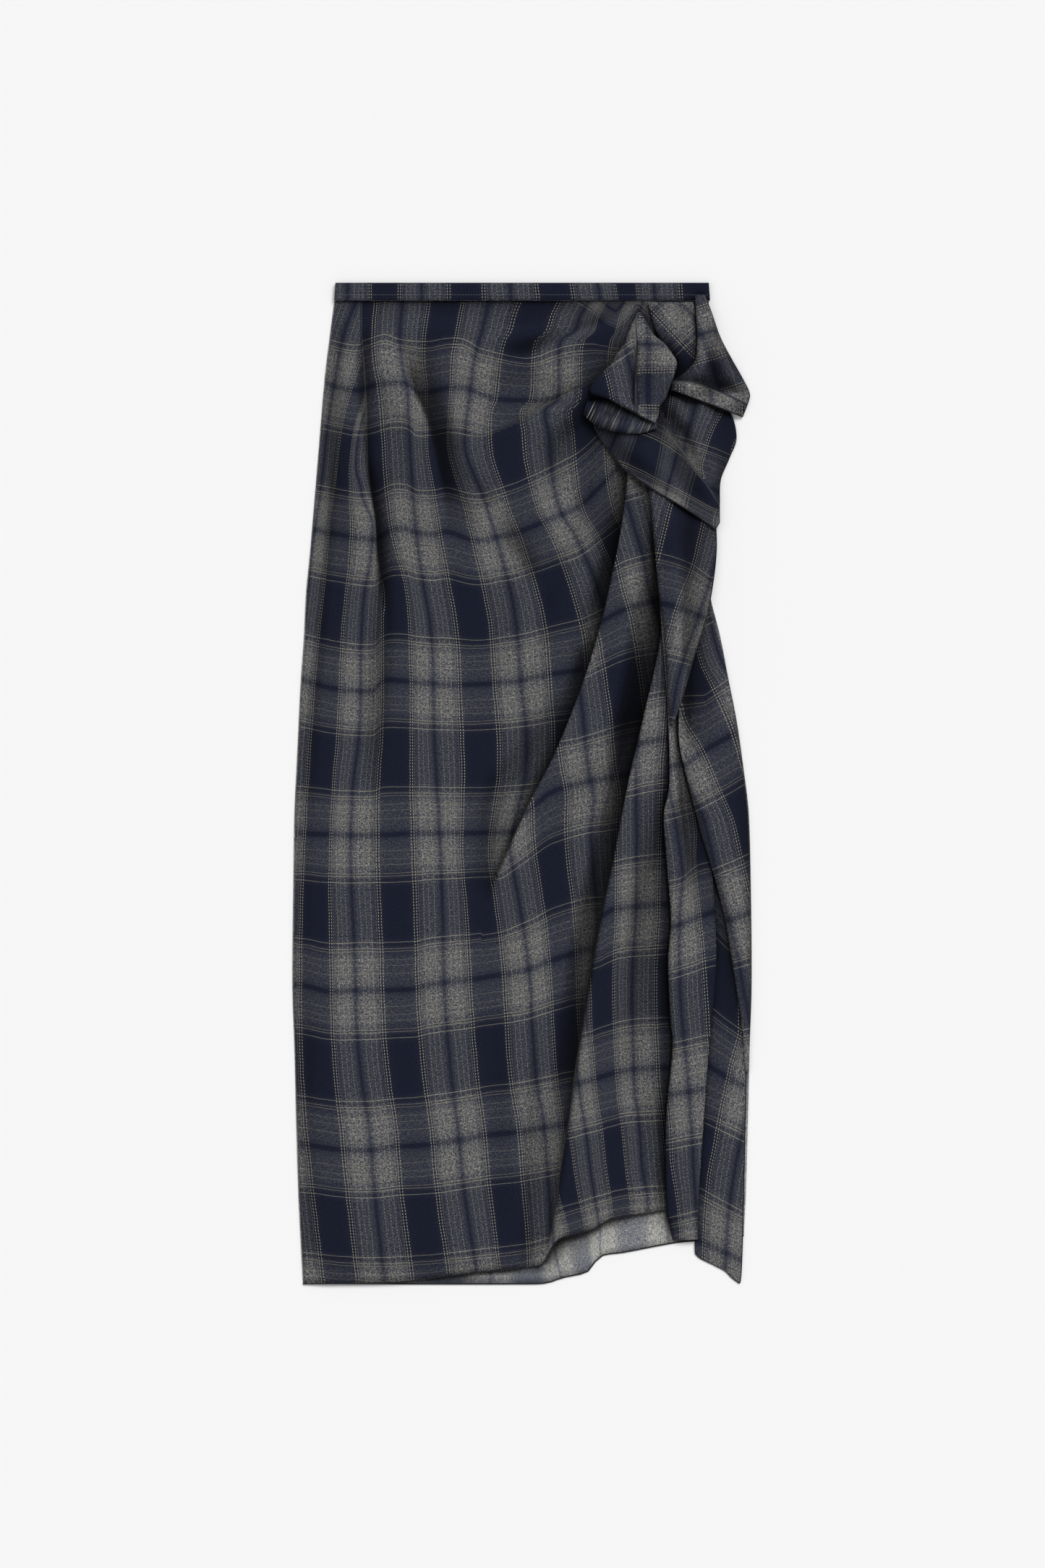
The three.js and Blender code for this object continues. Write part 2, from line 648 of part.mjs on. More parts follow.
/** The under wrap ends in a slanted hem that reaches below the other panels at the right side. */
function underWrap() {
  const grid = strip(UNDER_WRAP, FLAT_SECTION, { square: true, reach: 2, passes: 0 });
  const last = grid.length - 1;
  grid.forEach((row, j) =>
    row.forEach((p) => {
      const pull = ease(0.72, 1, j / last);
      p.y = THREE.MathUtils.lerp(p.y, read(UNDER_HEM, "x", p.x, "y"), pull);
    }),
  );
  return grid;
}

addPiece("back_panel", backPanel(), SLATE, CLOTH, true);
addPiece("waistband_back", waistband(CLOTH / 2, 0), NAVY, CLOTH, true);
addPiece("under_wrap", underWrap(), GREY);
addPiece("over_wrap", overWrap(), SLATE);
addPiece("waistband_front", waistband(CLOTH + SEAM_GAP + BAND_CLOTH / 2, 1.2), NAVY, BAND_CLOTH);
addPiece("edge_pleat", strip(EDGE_PLEAT, LIP_SECTION, { square: true }), GREY);
addPiece("side_panel", strip(SIDE_PANEL, FLAT_SECTION, { square: true }), SLATE);
addPiece("flounce_tail", strip(FLOUNCE_TAIL, WAVE_SECTION), NAVY);
addPiece("flounce_fall", strip(FLOUNCE_FALL, WAVE_SECTION, { seat: 0.8 }), SLATE);
addPiece("flounce_roll", strip(FLOUNCE_ROLL, PETAL_SECTION, { seat: 1.2 }), GREY);
addPiece("flounce_middle", strip(FLOUNCE_MIDDLE, FLAT_SECTION), GREY);
addPiece("flounce_right", strip(FLOUNCE_RIGHT, WAVE_SECTION, { seat: 0.6 }), GREY);
addPiece("flounce_left", strip(FLOUNCE_LEFT, PETAL_SECTION), GREY);

export default skirt;
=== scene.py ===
"""The looks of a draped wrap skirt in a shadow check, laid flat.

Every shape here is worked out in millimetres, in the frame of the CAD model: X runs across the
skirt, Y from hem to waistband and Z up from the surface it lies on. Meshes are written in metres.
Places that were read off the photograph are in its pixels and are named as such.
"""
import logging
import math
from dataclasses import dataclass, field
from enum import Enum

import bpy
import numpy as np
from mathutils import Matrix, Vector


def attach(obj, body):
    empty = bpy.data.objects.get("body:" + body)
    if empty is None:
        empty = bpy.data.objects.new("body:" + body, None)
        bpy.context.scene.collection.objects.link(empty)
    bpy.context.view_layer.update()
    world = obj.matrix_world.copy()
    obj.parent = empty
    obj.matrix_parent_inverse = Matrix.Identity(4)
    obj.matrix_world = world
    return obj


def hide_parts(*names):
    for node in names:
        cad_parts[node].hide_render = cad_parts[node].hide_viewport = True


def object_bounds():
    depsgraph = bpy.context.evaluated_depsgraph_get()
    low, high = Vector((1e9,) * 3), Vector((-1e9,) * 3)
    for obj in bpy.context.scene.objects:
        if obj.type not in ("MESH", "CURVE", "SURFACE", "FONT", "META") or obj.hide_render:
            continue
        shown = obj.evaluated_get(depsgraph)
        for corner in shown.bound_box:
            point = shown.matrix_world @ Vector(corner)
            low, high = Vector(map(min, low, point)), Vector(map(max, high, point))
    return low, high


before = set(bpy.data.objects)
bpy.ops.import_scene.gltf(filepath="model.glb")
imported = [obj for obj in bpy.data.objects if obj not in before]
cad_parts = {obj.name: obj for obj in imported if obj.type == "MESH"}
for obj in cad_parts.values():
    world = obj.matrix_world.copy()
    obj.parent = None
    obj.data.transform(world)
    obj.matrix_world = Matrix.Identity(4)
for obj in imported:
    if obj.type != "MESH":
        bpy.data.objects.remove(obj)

log = logging.getLogger("skirt")

METRE = 0.001  # one millimetre, in metres
PHOTO_WIDTH, PHOTO_HEIGHT = 1445, 2168  # size of the photograph, in its pixels
PHOTO_MM = 0.69  # millimetres of skirt to a pixel of the photograph
PHOTO_X, PHOTO_Y = 722.0, 1083.5  # pixel over the frame's origin

LOW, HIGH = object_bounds()  # the CAD model's box, in metres
TOP = HIGH[1] / METRE  # top edge of the waistband
HEM = LOW[1] / METRE  # lowest corner of the hem
WAIST = 356.0  # flat width of the waistband's top edge
BAND_HEIGHT = 17.0
SEAM_Y = TOP - BAND_HEIGHT
CLOTH = 0.8  # wall of the dressed cloth
BAND_CLOTH = 0.5  # wall of each layer of the folded waistband
SEAM_GAP = 0.3  # between pieces that meet or lie on each other
LOFT = 6.0  # air under the over wrap away from its edges
PANEL_TOP = SEAM_Y - SEAM_GAP
SIDE_INSET = 1.0

WARP_REPEAT = 85.4  # width of one repeat of the check, in mm
WEFT_REPEAT = 147.7  # height of one repeat of the check, in mm
WARP_PIXELS, WEFT_PIXELS = 123.8, 214  # the same two in pixels, as read on the flounce
WARP_START, WEFT_START = 8.0, 30.0  # where the straight check starts, in mm
RIDGE_SAMPLES = 140  # places along a ridge's line at which its distance is taken


class Side(Enum):
    """The two faces of the cloth."""

    RIGHT = "right"
    WRONG = "wrong"


class Runs(Enum):
    """The way a fold runs over the skirt."""

    DOWN = "down"
    ACROSS = "across"


def ease(low: float, high: float, value: np.ndarray) -> np.ndarray:
    """Eases from 0 to 1 as value goes from low to high."""
    t = np.clip((np.asarray(value, float) - low) / (high - low), 0.0, 1.0)
    return t * t * (3.0 - 2.0 * t)


def mix(a: np.ndarray, b: np.ndarray, share: np.ndarray) -> np.ndarray:
    """Goes from a to b by a share that has one axis fewer."""
    return a + (b - a) * share[..., None]


def pixels(x: np.ndarray, y: np.ndarray) -> tuple[np.ndarray, np.ndarray]:
    """The photograph's pixel column and row over places in mm."""
    return PHOTO_X + x / PHOTO_MM, PHOTO_Y - y / PHOTO_MM


def plan(points: np.ndarray) -> tuple[np.ndarray, np.ndarray]:
    """The x and the y of a grid of points."""
    return points[..., 0], points[..., 1]


class Table:
    """A short table with named columns, read along its first one by a smooth curve."""

    def __init__(self, columns: str, *rows: tuple[float, ...]) -> None:
        """Keeps the rows in the rising order of the first column.

        Args:
            columns: names of the columns, with spaces between.
            rows: one tuple of numbers for each row.
        """
        values = np.array(sorted(rows), float)
        self.key, *self.names = columns.split()
        self.keys = values[:, 0]
        self.values = {name: values[:, i + 1] for i, name in enumerate(self.names)}
        self.slopes = {name: self._slopes(column) for name, column in self.values.items()}

    def _slopes(self, column: np.ndarray) -> np.ndarray:
        """The slope of the curve at each row, from the rows on both sides."""
        before, after = np.r_[0, 0 : len(column) - 1], np.r_[1 : len(column), len(column) - 1]
        return (column[after] - column[before]) / (self.keys[after] - self.keys[before])

    def read(self, name: str, at: np.ndarray) -> np.ndarray:
        """Reads a column by a curve through its rows, held level past its ends.

        Args:
            name: name of the column.
            at: places along the first column.

        Returns:
            The column's value at each place.
        """
        at = np.clip(np.asarray(at, float), self.keys[0], self.keys[-1])
        i = np.clip(np.searchsorted(self.keys, at) - 1, 0, len(self.keys) - 2)
        span = self.keys[i + 1] - self.keys[i]
        t = (at - self.keys[i]) / span
        values, slopes = self.values[name], self.slopes[name]
        return (
            (2 * t**3 - 3 * t**2 + 1) * values[i]
            + (t**3 - 2 * t**2 + t) * span * slopes[i]
            + (3 * t**2 - 2 * t**3) * values[i + 1]
            + (t**3 - t**2) * span * slopes[i + 1]
        )


def counted(columns: str, *rows: tuple[float, ...]) -> Table:
    """A table whose first column counts its rows from 0."""
    return Table(columns, *((count, *row) for count, row in enumerate(rows)))


# Outline of the laid skirt and its hem lines
SIDES = Table(
    "y left right",
    (461, -179, 178), (430, -183, 178), (389, -188, 178), (306, -195, 178), (223, -202, 177),
    (182, -206, 179), (140, -208, 189), (99, -211, 197), (58, -213, 205), (16, -215, 211),
    (-26, -217, 216), (-88, -218, 218), (-191, -219, 219), (-253, -217, 217), (-336, -215, 215),
    (-398, -213, 213), (-477, -209, 209),
)
BACK_HEM = Table(
    "x y",
    (-209, -477), (9, -477), (24, -476), (39, -471), (61, -466), (67, -460), (73, -451),
    (96, -447), (143, -438), (163, -436), (209, -431),
)
OVER_HEM = Table(
    "x y",
    (-209, -477), (-133, -476), (-103, -474), (-70, -469), (-17, -463), (12, -460), (20, -457),
    (26, -447), (32, -438), (40, -432), (69, -424), (80, -416), (124, -409), (150, -404),
)
OVER_END = Table("y x", (461, 174), (400, 172), (340, 166), (300, 156), (220, 150), (-410, 150))


@dataclass(frozen=True)
class Fold:
    """A fold of the over wrap, whose lip is drawn over the trough beside it.

    The lip table says where the lip's edge lies, how high it stands and how far it is drawn.
    """

    lip: Table
    runs: Runs
    faces: int
    flank: float
    slope: float

    def _place(self, x: np.ndarray, y: np.ndarray) -> tuple[np.ndarray, np.ndarray, str]:
        """The place along the fold, the place across it and the name of the lip's column."""
        return (y, x, "x") if self.runs is Runs.DOWN else (x, y, "y")

    def crest(self, along: np.ndarray) -> np.ndarray:
        """Where the crest lies before the lip is drawn over."""
        column = "x" if self.runs is Runs.DOWN else "y"
        return self.lip.read(column, along) - self.faces * self.lip.read("pull", along)

    def behind(self, x: np.ndarray, y: np.ndarray) -> np.ndarray:
        """How far points lie behind the crest, away from the trough."""
        along, across, _ = self._place(x, y)
        return -self.faces * (across - self.crest(along))

    def crossed(self, x: np.ndarray, y: np.ndarray) -> np.ndarray:
        """0 on the trough's side of the hidden flank and 1 on the crest's side."""
        return ease(-1.15 * self.flank, -0.75 * self.flank, self.behind(x, y))

    def shape(self, x: np.ndarray, y: np.ndarray) -> tuple[np.ndarray, np.ndarray]:
        """The height and the sideways shift that the fold gives the cloth.

        Args:
            x: places across the skirt, in mm.
            y: places up the skirt, in mm.

        Returns:
            Heights in mm, and shifts in mm across the fold.
        """
        along, _, _ = self._place(x, y)
        behind = self.behind(x, y)
        up = ease(-1.8 * self.flank, 0.4 * self.flank, behind)
        tail = np.exp(-((np.maximum(0, behind) / self.slope) ** 2))
        near = np.exp(-((behind / self.flank) ** 2))
        pull = np.maximum(0, self.lip.read("pull", along))
        return self.lip.read("rise", along) * up * tail, self.faces * pull * near


HIP_FOLD = Fold(
    Table(
        "y x rise pull",
        (375, 112, 0, 0), (334, 105, 5, 4), (306, 103, 7, 9), (265, 99, 9, 10), (224, 92, 9, 14),
        (156, 77, 8, 12), (98, 60, 8, 10), (27, 32, 9, 9), (-25, 6, 8, 7), (-68, -12, 6, 5),
        (-89, -20, 5, 3), (-108, -26, 3, 1), (-145, -32, 0, 0),
    ),
    runs=Runs.DOWN, faces=-1, flank=7, slope=34,
)
FRONT_FOLD = Fold(
    Table(
        "y x rise pull",
        (350, 128, 0, 0), (306, 124, 5, 2), (265, 125, 8, 4), (202, 134, 12, 8), (162, 135, 13, 11),
        (127, 131, 14, 13), (64, 117, 14, 11), (2, 103, 13, 9), (-67, 90, 10, 8), (-143, 75, 8, 6),
        (-253, 58, 7, 4), (-323, 49, 6, 3), (-412, 36, 5, 2), (-470, 28, 4, 0),
    ),
    runs=Runs.DOWN, faces=-1, flank=7, slope=26,
)
DART_FOLD = Fold(
    Table(
        "y x rise pull",
        (430, -160, 0, 0), (361, -155, 4, 0), (324, -152, 5, 3), (292, -149, 6, 6),
        (250, -142, 6, 8), (222, -141, 6, 7), (193, -139, 5, 4), (147, -137, 3, 0),
        (51, -137, 0, 0),
    ),
    runs=Runs.DOWN, faces=1, flank=7, slope=16,
)
HIP_CURVE_FOLD = Fold(
    Table(
        "y x rise pull",
        (440, -127, 0, 0), (407, -116, 5, 1), (381, -109, 8, 3), (344, -93, 8, 4),
        (288, -81, 7, 3), (251, -76, 4, 1), (209, -74, 0, 0),
    ),
    runs=Runs.DOWN, faces=1, flank=8, slope=26,
)
SIDE_VALLEY = Fold(
    Table(
        "y x rise pull",
        (380, -184, 0, 0), (265, -190, -5, 0), (140, -197, -4.5, 0), (58, -203, -3, 0),
        (-100, -204, -1, 0), (-420, -196, 0, 0),
    ),
    runs=Runs.DOWN, faces=-1, flank=8, slope=12,
)
UPPER_DRAPE = Fold(
    Table(
        "x y rise pull",
        (-62, 388, 0, 0), (-15, 404, 3, 0), (14, 411, 4, 1), (50, 424, 5, 2), (75, 434, 4, 1),
        (100, 442, 0, 0),
    ),
    runs=Runs.ACROSS, faces=1, flank=8, slope=20,
)
LOWER_DRAPE = Fold(
    Table(
        "x y rise pull",
        (-38, 325, 0, 0), (-4, 339, 4, 1), (6, 346, 5, 3), (32, 362, 6, 5), (64, 378, 7, 6),
        (84, 386, 5, 3), (108, 392, 0, 0),
    ),
    runs=Runs.ACROSS, faces=1, flank=7, slope=24,
)
FOLDS = (
    HIP_FOLD, FRONT_FOLD, DART_FOLD, HIP_CURVE_FOLD, SIDE_VALLEY, UPPER_DRAPE, LOWER_DRAPE,
)


@dataclass(frozen=True)
class Ridge:
    """A soft fold along a line of photograph pixels, or a valley where its rise is below 0."""

    line: tuple[tuple[float, float], ...]
    rise: float
    width: float

    def height(self, x: np.ndarray, y: np.ndarray) -> np.ndarray:
        """The height that the ridge gives points, in mm, dying out at both of its ends."""
        places = np.array(self.line, float)
        stops = np.arange(len(places))
        steps = np.linspace(0, len(places) - 1, RIDGE_SAMPLES)
        line_x = Table("t v", *zip(stops, places[:, 0])).read("v", steps)
        line_y = Table("t v", *zip(stops, places[:, 1])).read("v", steps)
        gap_x = x[..., None] - (line_x - PHOTO_X) * PHOTO_MM
        gap_y = y[..., None] - (PHOTO_Y - line_y) * PHOTO_MM
        square = gap_x**2 + gap_y**2
        nearest = square.argmin(-1)
        share = nearest / (len(steps) - 1)
        fade = np.sin(np.pi * np.clip(share, 0, 1)) ** 0.6
        return self.rise * fade * np.exp(-square.min(-1) / self.width**2)


# Soft folds that fan out from the gathers at the hip, the bend at the dart and waves of the hem
RIDGES = (
    # crests that fan out from the gathers
    Ridge(((795, 680), (765, 750), (740, 820), (722, 900), (700, 1020)), 7, 17),
    Ridge(((740, 620), (700, 680), (665, 770), (645, 900)), 4, 16),
    Ridge(((838, 825), (824, 865), (808, 905)), 4, 8),
    Ridge(((866, 690), (868, 800), (858, 900), (840, 990), (822, 1060)), 5, 10),
    Ridge(((815, 462), (740, 462), (680, 474), (610, 500)), 3, 11),
    Ridge(((800, 520), (740, 508), (690, 508), (640, 520)), 2.5, 9),
    # troughs beside the two deep folds and beside the pleat
    Ridge(((856, 640), (846, 740), (832, 810), (820, 870), (800, 930), (760, 1034)), -5, 8),
    Ridge(((770, 960), (735, 1030), (690, 1090), (674, 1160), (668, 1240)), -7, 14),
    Ridge(((903, 700), (900, 860), (886, 940), (870, 1010), (852, 1090), (832, 1181), (806, 1291),
           (782, 1450), (766, 1552), (750, 1740)), -7, 10),
    Ridge(((885, 980), (900, 1150), (900, 1300), (896, 1500), (890, 1740)), -9, 18),
    Ridge(((740, 1420), (738, 1560), (730, 1720), (728, 1760)), -6, 10),
    # the dark hollow beside the knot
    Ridge(((850, 545), (815, 575), (798, 620), (806, 680), (830, 760)), -9, 17),
    Ridge(((800, 590), (770, 640), (765, 700)), -4, 14),
    # valleys below the dart, beside the hip curve and along the left side
    Ridge(((515, 640), (524, 780), (524, 900), (520, 1000), (512, 1120)), -8, 12),
    Ridge(((590, 440), (592, 520), (618, 610), (640, 690), (680, 760)), -6, 11),
    Ridge(((640, 640), (680, 700), (730, 780), (765, 850)), -5, 10),
    Ridge(((505, 430), (503, 540), (506, 700)), -5, 8),
    Ridge(((780, 450), (740, 478), (700, 490)), -4, 9),
    # slow waves towards the hem
    Ridge(((738, 1250), (720, 1450), (715, 1600), (722, 1740)), 4, 18),
    Ridge(((690, 1380), (690, 1560), (700, 1760)), -2.5, 16),
    Ridge(((600, 1500), (604, 1620), (610, 1770)), 2.4, 26),
    Ridge(((478, 1330), (478, 1500), (476, 1770)), 2.4, 28),
    Ridge(((862, 1180), (850, 1350), (838, 1560), (842, 1690)), 3, 13),
)


class Chart:
    """Where the lines of the check run on one stretch of cloth, read off the photograph.

    A warp line is a table of pixel rows and the line's pixel column there, a weft line the other
    way round. Each is known by its count of repeats, so a half is the middle of a navy block.
    """

    def __init__(self, warp: dict[float, Table], weft: dict[float, Table]) -> None:
        """Keeps the lines, in the rising order of their counts."""
        self.warp = dict(sorted(warp.items()))
        self.weft = dict(sorted(weft.items()))

    @staticmethod
    def _count(lines: dict[float, Table], place: np.ndarray, along: np.ndarray) -> np.ndarray:
        """The count of repeats at a place between the lines."""
        numbers = np.array(list(lines))
        at = np.stack([table.read(table.names[0], along) for table in lines.values()])
        share = (place - at[:-1]) / np.maximum(np.diff(at, axis=0), 8.0)
        share[1:] = np.maximum(share[1:], 0)
        share[:-1] = np.minimum(share[:-1], 1)
        return numbers[0] + np.tensordot(np.diff(numbers), share, 1)

    def at(self, x: np.ndarray, y: np.ndarray) -> np.ndarray:
        """Args:
            x: places across the skirt, in mm.
            y: places up the skirt, in mm.

        Returns:
            Counts of repeats across and down, on the last axis.
        """
        column, row = pixels(x, y)
        across = self._count(self.warp, column, row)
        return np.stack([across, self._count(self.weft, row, column)], -1)


# Lines that several charts share
FIRST_WEFT_LEFT = (
    (450, 530), (461, 534), (494, 540), (523, 532), (551, 530), (565, 533), (577, 544), (600, 541),
)
FOURTH_WEFT = Table(
    "x y", (412, 1152), (502, 1155), (579, 1152), (630, 1152), (716, 1150), (760, 1146)
)
FIFTH_WEFT = Table(
    "x y", (408, 1361), (425, 1363), (451, 1370), (502, 1369), (573, 1367), (594, 1361),
    (655, 1353), (693, 1347), (732, 1340), (764, 1327), (812, 1312),
)
SIXTH_WEFT = Table(
    "x y", (411, 1582), (437, 1584), (469, 1589), (510, 1590), (547, 1585), (593, 1582),
    (630, 1577), (675, 1569), (712, 1565), (785, 1554),
)
SEVENTH_WEFT = Table(
    "x y", (411, 1797), (510, 1804), (550, 1805), (657, 1796), (719, 1790), (758, 1779), (785, 1768)
)
SECOND_WEFT = Table(
    "x y", (433, 732), (461, 738), (517, 746), (528, 741), (543, 732), (563, 732), (576, 737),
    (599, 739), (619, 736), (650, 746), (668, 748), (688, 743), (711, 738), (738, 728),
    (776, 712), (804, 698), (839, 663), (870, 630),
)
THIRD_WEFT = Table(
    "x y", (418, 940), (433, 945), (456, 951), (484, 955), (517, 955), (528, 942), (553, 941),
    (579, 944), (635, 947), (681, 945), (719, 941), (764, 932), (797, 927), (830, 920),
)
FIRST_WARP = Table(
    "y x", (417, 557), (464, 553), (502, 556), (535, 563), (582, 566), (677, 571), (738, 576),
    (802, 584), (853, 593), (904, 598), (1006, 600), (1083, 604), (1151, 608), (1253, 612),
    (1355, 614), (1406, 617), (1496, 625), (1565, 634), (1641, 641), (1755, 659),
)
ZERO_WARP_LOW = (
    (813, 505), (895, 499), (960, 499), (1019, 496), (1098, 487), (1202, 485), (1330, 491),
    (1432, 494), (1498, 501), (1553, 510), (1657, 519), (1771, 532),
)
ZERO_WARP = Table(
    "y x", (417, 433), (502, 432), (582, 442), (677, 451), (740, 466), (780, 490), *ZERO_WARP_LOW
)
SECOND_WARP = Table(
    "y x", (417, 676), (460, 666), (488, 658), (523, 652), (570, 646), (606, 642), (630, 645),
    (657, 655), (679, 665), (726, 681), (802, 702), (843, 711), (884, 716), (955, 721),
    (1006, 727), (1070, 727), (1120, 716), (1180, 706), (1266, 721), (1317, 729), (1368, 734),
    (1432, 737), (1493, 742), (1560, 753), (1611, 757), (1703, 763),
)
THIRD_WARP = Table(
    "y x", (417, 816), (436, 804), (460, 794), (471, 777), (500, 773), (554, 771), (568, 754),
    (601, 759), (641, 762), (684, 768), (715, 778), (738, 794), (784, 815), (817, 828),
    (900, 850), (1057, 850), (1151, 840), (1253, 826), (1400, 828), (1600, 840), (1703, 850),
)
FOURTH_WARP = Table(
    "y x", (417, 889), (445, 880), (500, 872), (568, 868), (601, 869), (700, 880), (817, 930),
    (1057, 960), (1253, 930), (1703, 950),
)
LEFT_SIDE = Chart(
    warp={
        -1: Table(
            "y x", (417, 492), (462, 476), (512, 466), (584, 454), (666, 445), (722, 437),
            (803, 426), (875, 416), (1000, 402), (1250, 387), (1500, 383), (1776, 411),
        ),
        -0.5: Table(
            "y x", (417, 553), (512, 512), (560, 494), (600, 484), (640, 479), (680, 474),
            (720, 468), (803, 464), (875, 457), (1000, 449), (1250, 437), (1500, 442), (1776, 471),
        ),
        0: Table(
            "y x", (417, 575), (512, 530), (560, 508), (600, 496), (650, 492), (671, 498),
            (691, 502), (711, 512), (730, 516), (780, 512), *ZERO_WARP_LOW,
        ),
        1: FIRST_WARP,
    },
    weft={
        1: Table("x y", *FIRST_WEFT_LEFT),
        2: SECOND_WEFT, 3: THIRD_WEFT, 4: FOURTH_WEFT, 5: FIFTH_WEFT, 6: SIXTH_WEFT,
        7: SEVENTH_WEFT,
    },
)
UPPER_FRONT = Chart(
    warp={0: ZERO_WARP, 1: FIRST_WARP, 2: SECOND_WARP, 3: THIRD_WARP, 4: FOURTH_WARP},
    weft={
        0.31: Table(
            "x y", (455, 405), (600, 400), (700, 402), (760, 408), (790, 416), (811, 426),
            (832, 442), (850, 454), (868, 442), (880, 426), (890, 432), (918, 454), (950, 480),
        ),
        0.69: Table(
            "x y", (454, 469), (486, 474), (509, 469), (532, 462), (551, 469), (588, 472),
            (625, 467), (643, 469), (662, 481), (680, 486), (717, 495), (740, 495), (763, 486),
            (782, 479), (819, 476), (856, 483),
        ),
        1: Table(
            "x y", *FIRST_WEFT_LEFT, (619, 537), (650, 539), (666, 546), (685, 552), (731, 554),
            (766, 553), (790, 551), (810, 546), (830, 535), (870, 530),
        ),
        2: SECOND_WEFT, 3: THIRD_WEFT,
    },
)
LOWER_FRONT = Chart(
    warp=UPPER_FRONT.warp,
    weft={
        1: Table(
            "x y", *FIRST_WEFT_LEFT, (619, 537), (650, 539), (680, 530), (711, 512), (770, 478),
            (840, 424),
        ),
        2: SECOND_WEFT, 3: THIRD_WEFT, 4: FOURTH_WEFT, 5: FIFTH_WEFT, 6: SIXTH_WEFT,
        7: SEVENTH_WEFT,
    },
)
HIP_FOLD_CLOTH = Chart(
    warp={
        1: Table(
            "y x", (650, 560), (800, 540), (1000, 565), (1100, 590), (1180, 609), (1253, 612),
            (1355, 614), (1406, 617), (1496, 625), (1565, 634), (1641, 641), (1755, 659),
        ),
        2: Table(
            "y x", (650, 640), (800, 652), (900, 670), (1000, 684), (1100, 698), (1180, 706),
            (1266, 721), (1317, 729), (1368, 734), (1432, 737), (1493, 742), (1560, 753),
            (1611, 757), (1703, 763),
        ),
        3: Table(
            "y x", (650, 735), (700, 744), (771, 765), (858, 786), (904, 794), (958, 802),
            (1001, 807), (1057, 812), (1098, 820), (1151, 817), (1202, 820), (1253, 825),
            (1400, 828), (1600, 840), (1703, 850),
        ),
        4: Table(
            "y x", (650, 860), (700, 868), (738, 879), (771, 889), (807, 895), (858, 910),
            (958, 926), (1057, 936), (1151, 941), (1253, 945), (1703, 960),
        ),
    },
    weft={
        2: Table("x y", (800, 660), (835, 644), (863, 629), (896, 619), (930, 610)),
        3: Table("x y", (800, 880), (835, 858), (863, 843), (896, 833), (930, 825)),
        4: Table(
            "x y", (630, 1165), (690, 1156), (708, 1142), (734, 1118), (761, 1096), (802, 1083),
            (845, 1075), (880, 1068),
        ),
        5: FIFTH_WEFT, 6: SIXTH_WEFT, 7: SEVENTH_WEFT,
    },
)
FRONT_FOLD_CLOTH = Chart(
    warp={
        3: Table(
            "y x", (700, 762), (898, 785), (1060, 790), (1202, 790), (1400, 792), (1507, 801),
            (1565, 810), (1622, 817), (1698, 829),
        ),
        4: Table(
            "y x", (700, 880), (898, 888), (1031, 881), (1056, 879), (1253, 879), (1317, 875),
            (1368, 873), (1498, 876), (1576, 884), (1622, 888), (1657, 893),
        ),
        5: Table(
            "y x", (700, 1000), (898, 1008), (1126, 990), (1253, 984), (1419, 985), (1657, 1012)
        ),
    },
    weft={
        3: Table("x y", (820, 835), (879, 816), (920, 808)),
        4: Table("x y", (820, 1052), (879, 1030), (906, 1023), (920, 1021)),
        5: Table("x y", (800, 1280), (830, 1268), (845, 1258), (879, 1253), (922, 1250)),
        6: Table("x y", (760, 1505), (796, 1498), (829, 1489), (861, 1480), (918, 1476)),
        7: Table("x y", (760, 1748), (829, 1724), (861, 1716), (918, 1712)),
    },
)
PLEAT_CLOTH = Chart(
    warp={
        -0.5: Table(
            "y x", (1100, 868), (1200, 878), (1320, 884), (1450, 893), (1537, 907), (1611, 910),
            (1651, 919), (1700, 926),
        ),
        0: Table(
            "y x", (660, 890), (816, 900), (950, 912), (1060, 920), (1126, 932), (1177, 940),
            (1215, 944), (1266, 940), (1368, 940), (1432, 945), (1483, 950), (1565, 956),
            (1622, 959), (1703, 964),
        ),
        0.3: Table(
            "y x", (660, 930), (1100, 955), (1146, 961), (1192, 961), (1264, 967), (1331, 973),
            (1362, 975), (1410, 978), (1460, 981), (1540, 986), (1600, 990), (1703, 998),
        ),
    },
    weft={
        3: Table("x y", (900, 840), (980, 830)),
        4: Table("x y", (920, 1062), (980, 1045)),
        4.31: Table("x y", (921, 1135), (957, 1125), (985, 1118)),
        4.69: Table("x y", (920, 1218), (944, 1212), (963, 1196), (985, 1190)),
        5: Table("x y", (930, 1282), (970, 1266), (991, 1259)),
        6: Table("x y", (920, 1515), (934, 1512), (975, 1505)),
        7: Table("x y", (920, 1759), (975, 1746)),
    },
)
SIDE_CLOTH = Chart(
    warp={
        0: Table(
            "y x", (720, 868), (912, 905), (992, 907), (1040, 930), (1089, 953), (1133, 973),
            (1192, 987), (1217, 993), (1297, 1014), (1400, 1034), (1490, 1048),
        ),
        0.3: Table(
            "y x", (720, 905), (912, 930), (992, 944), (1040, 972), (1089, 993), (1133, 1012),
            (1192, 1026), (1222, 1033), (1300, 1052), (1400, 1072),
        ),
        0.7: Table(
            "y x", (720, 935), (830, 952), (912, 968), (953, 987), (996, 1007), (1028, 1018),
            (1059, 1026), (1100, 1038), (1200, 1066), (1400, 1112),
        ),
    },
    weft={
        0.31: Table("x y", (946, 880), (1007, 850)),
        0.69: Table("x y", (974, 961), (1007, 938), (1030, 925)),
        1: Table("x y", (946, 1059), (974, 1038), (1010, 1017), (1030, 1008)),
        1.31: Table("x y", (963, 1122), (997, 1104), (1031, 1084)),
        1.69: Table("x y", (982, 1203), (1037, 1179)),
        2: Table("x y", (1001, 1274), (1037, 1262)),
        3: Table("x y", (1001, 1500), (1037, 1492)),
    },
)
